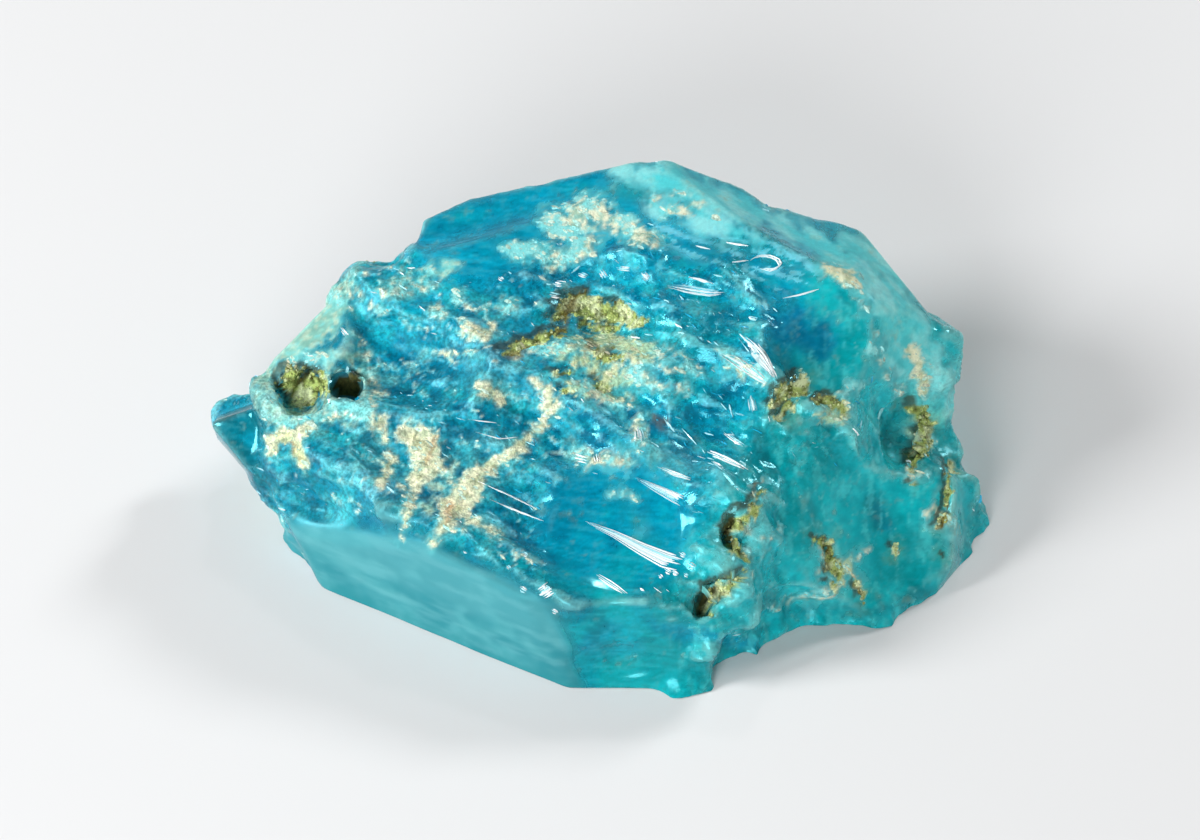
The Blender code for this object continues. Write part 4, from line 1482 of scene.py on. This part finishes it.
def topaz():
    material = bpy.data.materials.new("topaz_crystal")
    n = Nodes(material)
    where = millimetres(n)
    fine = n.noise(where, 4.5, 3, 0.65)
    tint = n.add("ShaderNodeAttribute", attribute_name="tint").outputs["Color"]
    swing = n.ramp(fine, 0.30, 0.70, -0.34, 0.28)
    shade = n.math("MULTIPLY_ADD", swing, n.attribute("speckle"), 1.0)
    colour = n.vector("SCALE", tint, scale=shade)
    height = n.math("MULTIPLY", fine, n.math("MULTIPLY_ADD", n.attribute("grit"), 0.16, 0.0))
    bump = n.add("ShaderNodeBump")
    bump.inputs["Strength"].default_value = 1.0
    bump.inputs["Distance"].default_value = 0.001
    n.feed(bump.inputs["Height"], height)

    shader = n.add("ShaderNodeBsdfPrincipled")
    n.feed(shader.inputs["Base Color"], colour)
    n.feed(shader.inputs["Roughness"], n.attribute("gloss"))
    n.feed(shader.inputs["Transmission Weight"], n.attribute("clear"))
    shader.inputs["IOR"].default_value = 1.62
    shader.inputs["Specular IOR Level"].default_value = 0.28
    shader.inputs["Specular Tint"].default_value = (0.22, 0.88, 1.0, 1.0)
    n.feed(shader.inputs["Normal"], bump.outputs["Normal"])
    absorb = n.add("ShaderNodeVolumeAbsorption")
    absorb.inputs["Color"].default_value = (0.01, 0.90, 0.93, 1.0)
    absorb.inputs["Density"].default_value = 90.0
    out = n.add("ShaderNodeOutputMaterial")
    n.link(shader.outputs[0], out.inputs["Surface"])
    n.link(absorb.outputs[0], out.inputs["Volume"])
    return material


def grain_stuff(name, rough):
    material = bpy.data.materials.new(name)
    n = Nodes(material)
    where = millimetres(n)
    tint = n.add("ShaderNodeAttribute", attribute_name="tint").outputs["Color"]
    shade = n.ramp(n.noise(where, 7.0, 2, 0.6), 0.3, 0.7, 0.62, 1.25)
    shader = n.add("ShaderNodeBsdfPrincipled")
    n.feed(shader.inputs["Base Color"], n.vector("SCALE", tint, scale=shade))
    shader.inputs["Roughness"].default_value = rough
    out = n.add("ShaderNodeOutputMaterial")
    n.link(shader.outputs[0], out.inputs["Surface"])
    return material


def veil_stuff():
    material = bpy.data.materials.new("healed_crack")
    n = Nodes(material)
    tint = n.add("ShaderNodeAttribute", attribute_name="tint").outputs["Color"]
    shader = n.add("ShaderNodeBsdfPrincipled")
    n.feed(shader.inputs["Base Color"], tint)
    shader.inputs["Roughness"].default_value = 0.25
    shader.inputs["Transmission Weight"].default_value = 0.6
    shader.inputs["IOR"].default_value = 1.15
    out = n.add("ShaderNodeOutputMaterial")
    n.link(shader.outputs[0], out.inputs["Surface"])
    return material


def splinter_and_glint_stuff():
    material = bpy.data.materials.new("topaz_splinter_and_glint")
    n = Nodes(material)
    tint = n.add("ShaderNodeAttribute", attribute_name="tint").outputs["Color"]
    shader = n.add("ShaderNodeBsdfPrincipled")
    n.feed(shader.inputs["Base Color"], tint)
    shader.inputs["Roughness"].default_value = 0.18
    shader.inputs["Transmission Weight"].default_value = 0.12
    shader.inputs["IOR"].default_value = 1.62
    out = n.add("ShaderNodeOutputMaterial")
    n.link(shader.outputs[0], out.inputs["Surface"])
    return material


stone_mesh.materials.append(topaz())
grains.data.materials.append(grain_stuff("olive_grain", 0.6))
crumbs.data.materials.append(grain_stuff("cream_crust", 0.75))
splinters_and_glints.data.materials.append(splinter_and_glint_stuff())
cracks.data.materials.append(veil_stuff())

# ---------------------------------------------------------------------------
# Floor, light and camera
# ---------------------------------------------------------------------------
bm = bmesh.new()
bmesh.ops.create_grid(bm, x_segments=2, y_segments=2, size=1.5)
floor_mesh = bpy.data.meshes.new("floor")
bm.to_mesh(floor_mesh)
bm.free()
floor = bpy.data.objects.new("floor", floor_mesh)
bpy.context.scene.collection.objects.link(floor)
floor.location = (0, 0, -0.00005)
paper = bpy.data.materials.new("pale_floor")
n = Nodes(paper)
tone = n.mix(n.noise(millimetres(n), 0.02, 2), (0.70, 0.705, 0.71), (0.72, 0.725, 0.73))
shader = n.add("ShaderNodeBsdfPrincipled")
n.feed(shader.inputs["Base Color"], tone)
shader.inputs["Roughness"].default_value = 0.7
shader.inputs["Specular IOR Level"].default_value = 0.2
out = n.add("ShaderNodeOutputMaterial")
n.link(shader.outputs[0], out.inputs["Surface"])
floor_mesh.materials.append(paper)
floor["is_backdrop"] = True


def look(obj, target):
    way = Vector(target) - obj.location
    obj.rotation_euler = way.to_track_quat("-Z", "Y").to_euler()


def softbox(name, where, size, power, colour=(1, 1, 1)):
    light = bpy.data.lights.new(name, "AREA")
    light.shape, light.size, light.energy, light.color = "DISK", size, power, colour
    obj = bpy.data.objects.new(name, light)
    bpy.context.scene.collection.objects.link(obj)
    obj.location = where
    look(obj, (0, 0, 0.006))
    return obj


softbox("left", (-0.38, -0.04, 0.24), 0.16, 1.9)
softbox("front", (-0.14, -0.42, 0.20), 0.22, 1.55)
softbox("right", (0.30, 0.26, 0.26), 0.10, 1.0)
softbox("glint", (0.02, 0.34, 0.40), 0.03, 0.15)

world = bpy.data.worlds.new("studio")
bpy.context.scene.world = world
world.use_nodes = True
n = Nodes(world)
way = n.add("ShaderNodeTexCoord").outputs["Generated"]
high = n.add("ShaderNodeSeparateXYZ")
n.link(way, high.inputs[0])
glow = n.ramp(high.outputs["Z"], 0.25, 0.85, 0.42, 0.08)
back = n.add("ShaderNodeBackground")
n.feed(back.inputs["Color"], (1.0, 1.0, 1.0))
n.feed(back.inputs["Strength"], glow)
out = n.add("ShaderNodeOutputWorld")
n.link(back.outputs[0], out.inputs[0])

lens = bpy.data.cameras.new("camera")
lens.lens = 260
lens.sensor_width = 36
lens.clip_start = 0.01
camera = bpy.data.objects.new("camera", lens)
bpy.context.scene.collection.objects.link(camera)
aim = Vector((0.0, 0.0006, 0.0062))
camera.location = aim + Vector(TOWARD) * 0.481
look(camera, aim)
bpy.context.scene.camera = camera
bpy.context.scene.view_settings.view_transform = "Standard"

for piece in (stone, grains, crumbs, splinters_and_glints, cracks):
    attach(piece, "root")
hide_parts("rough_topaz")

low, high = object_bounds()
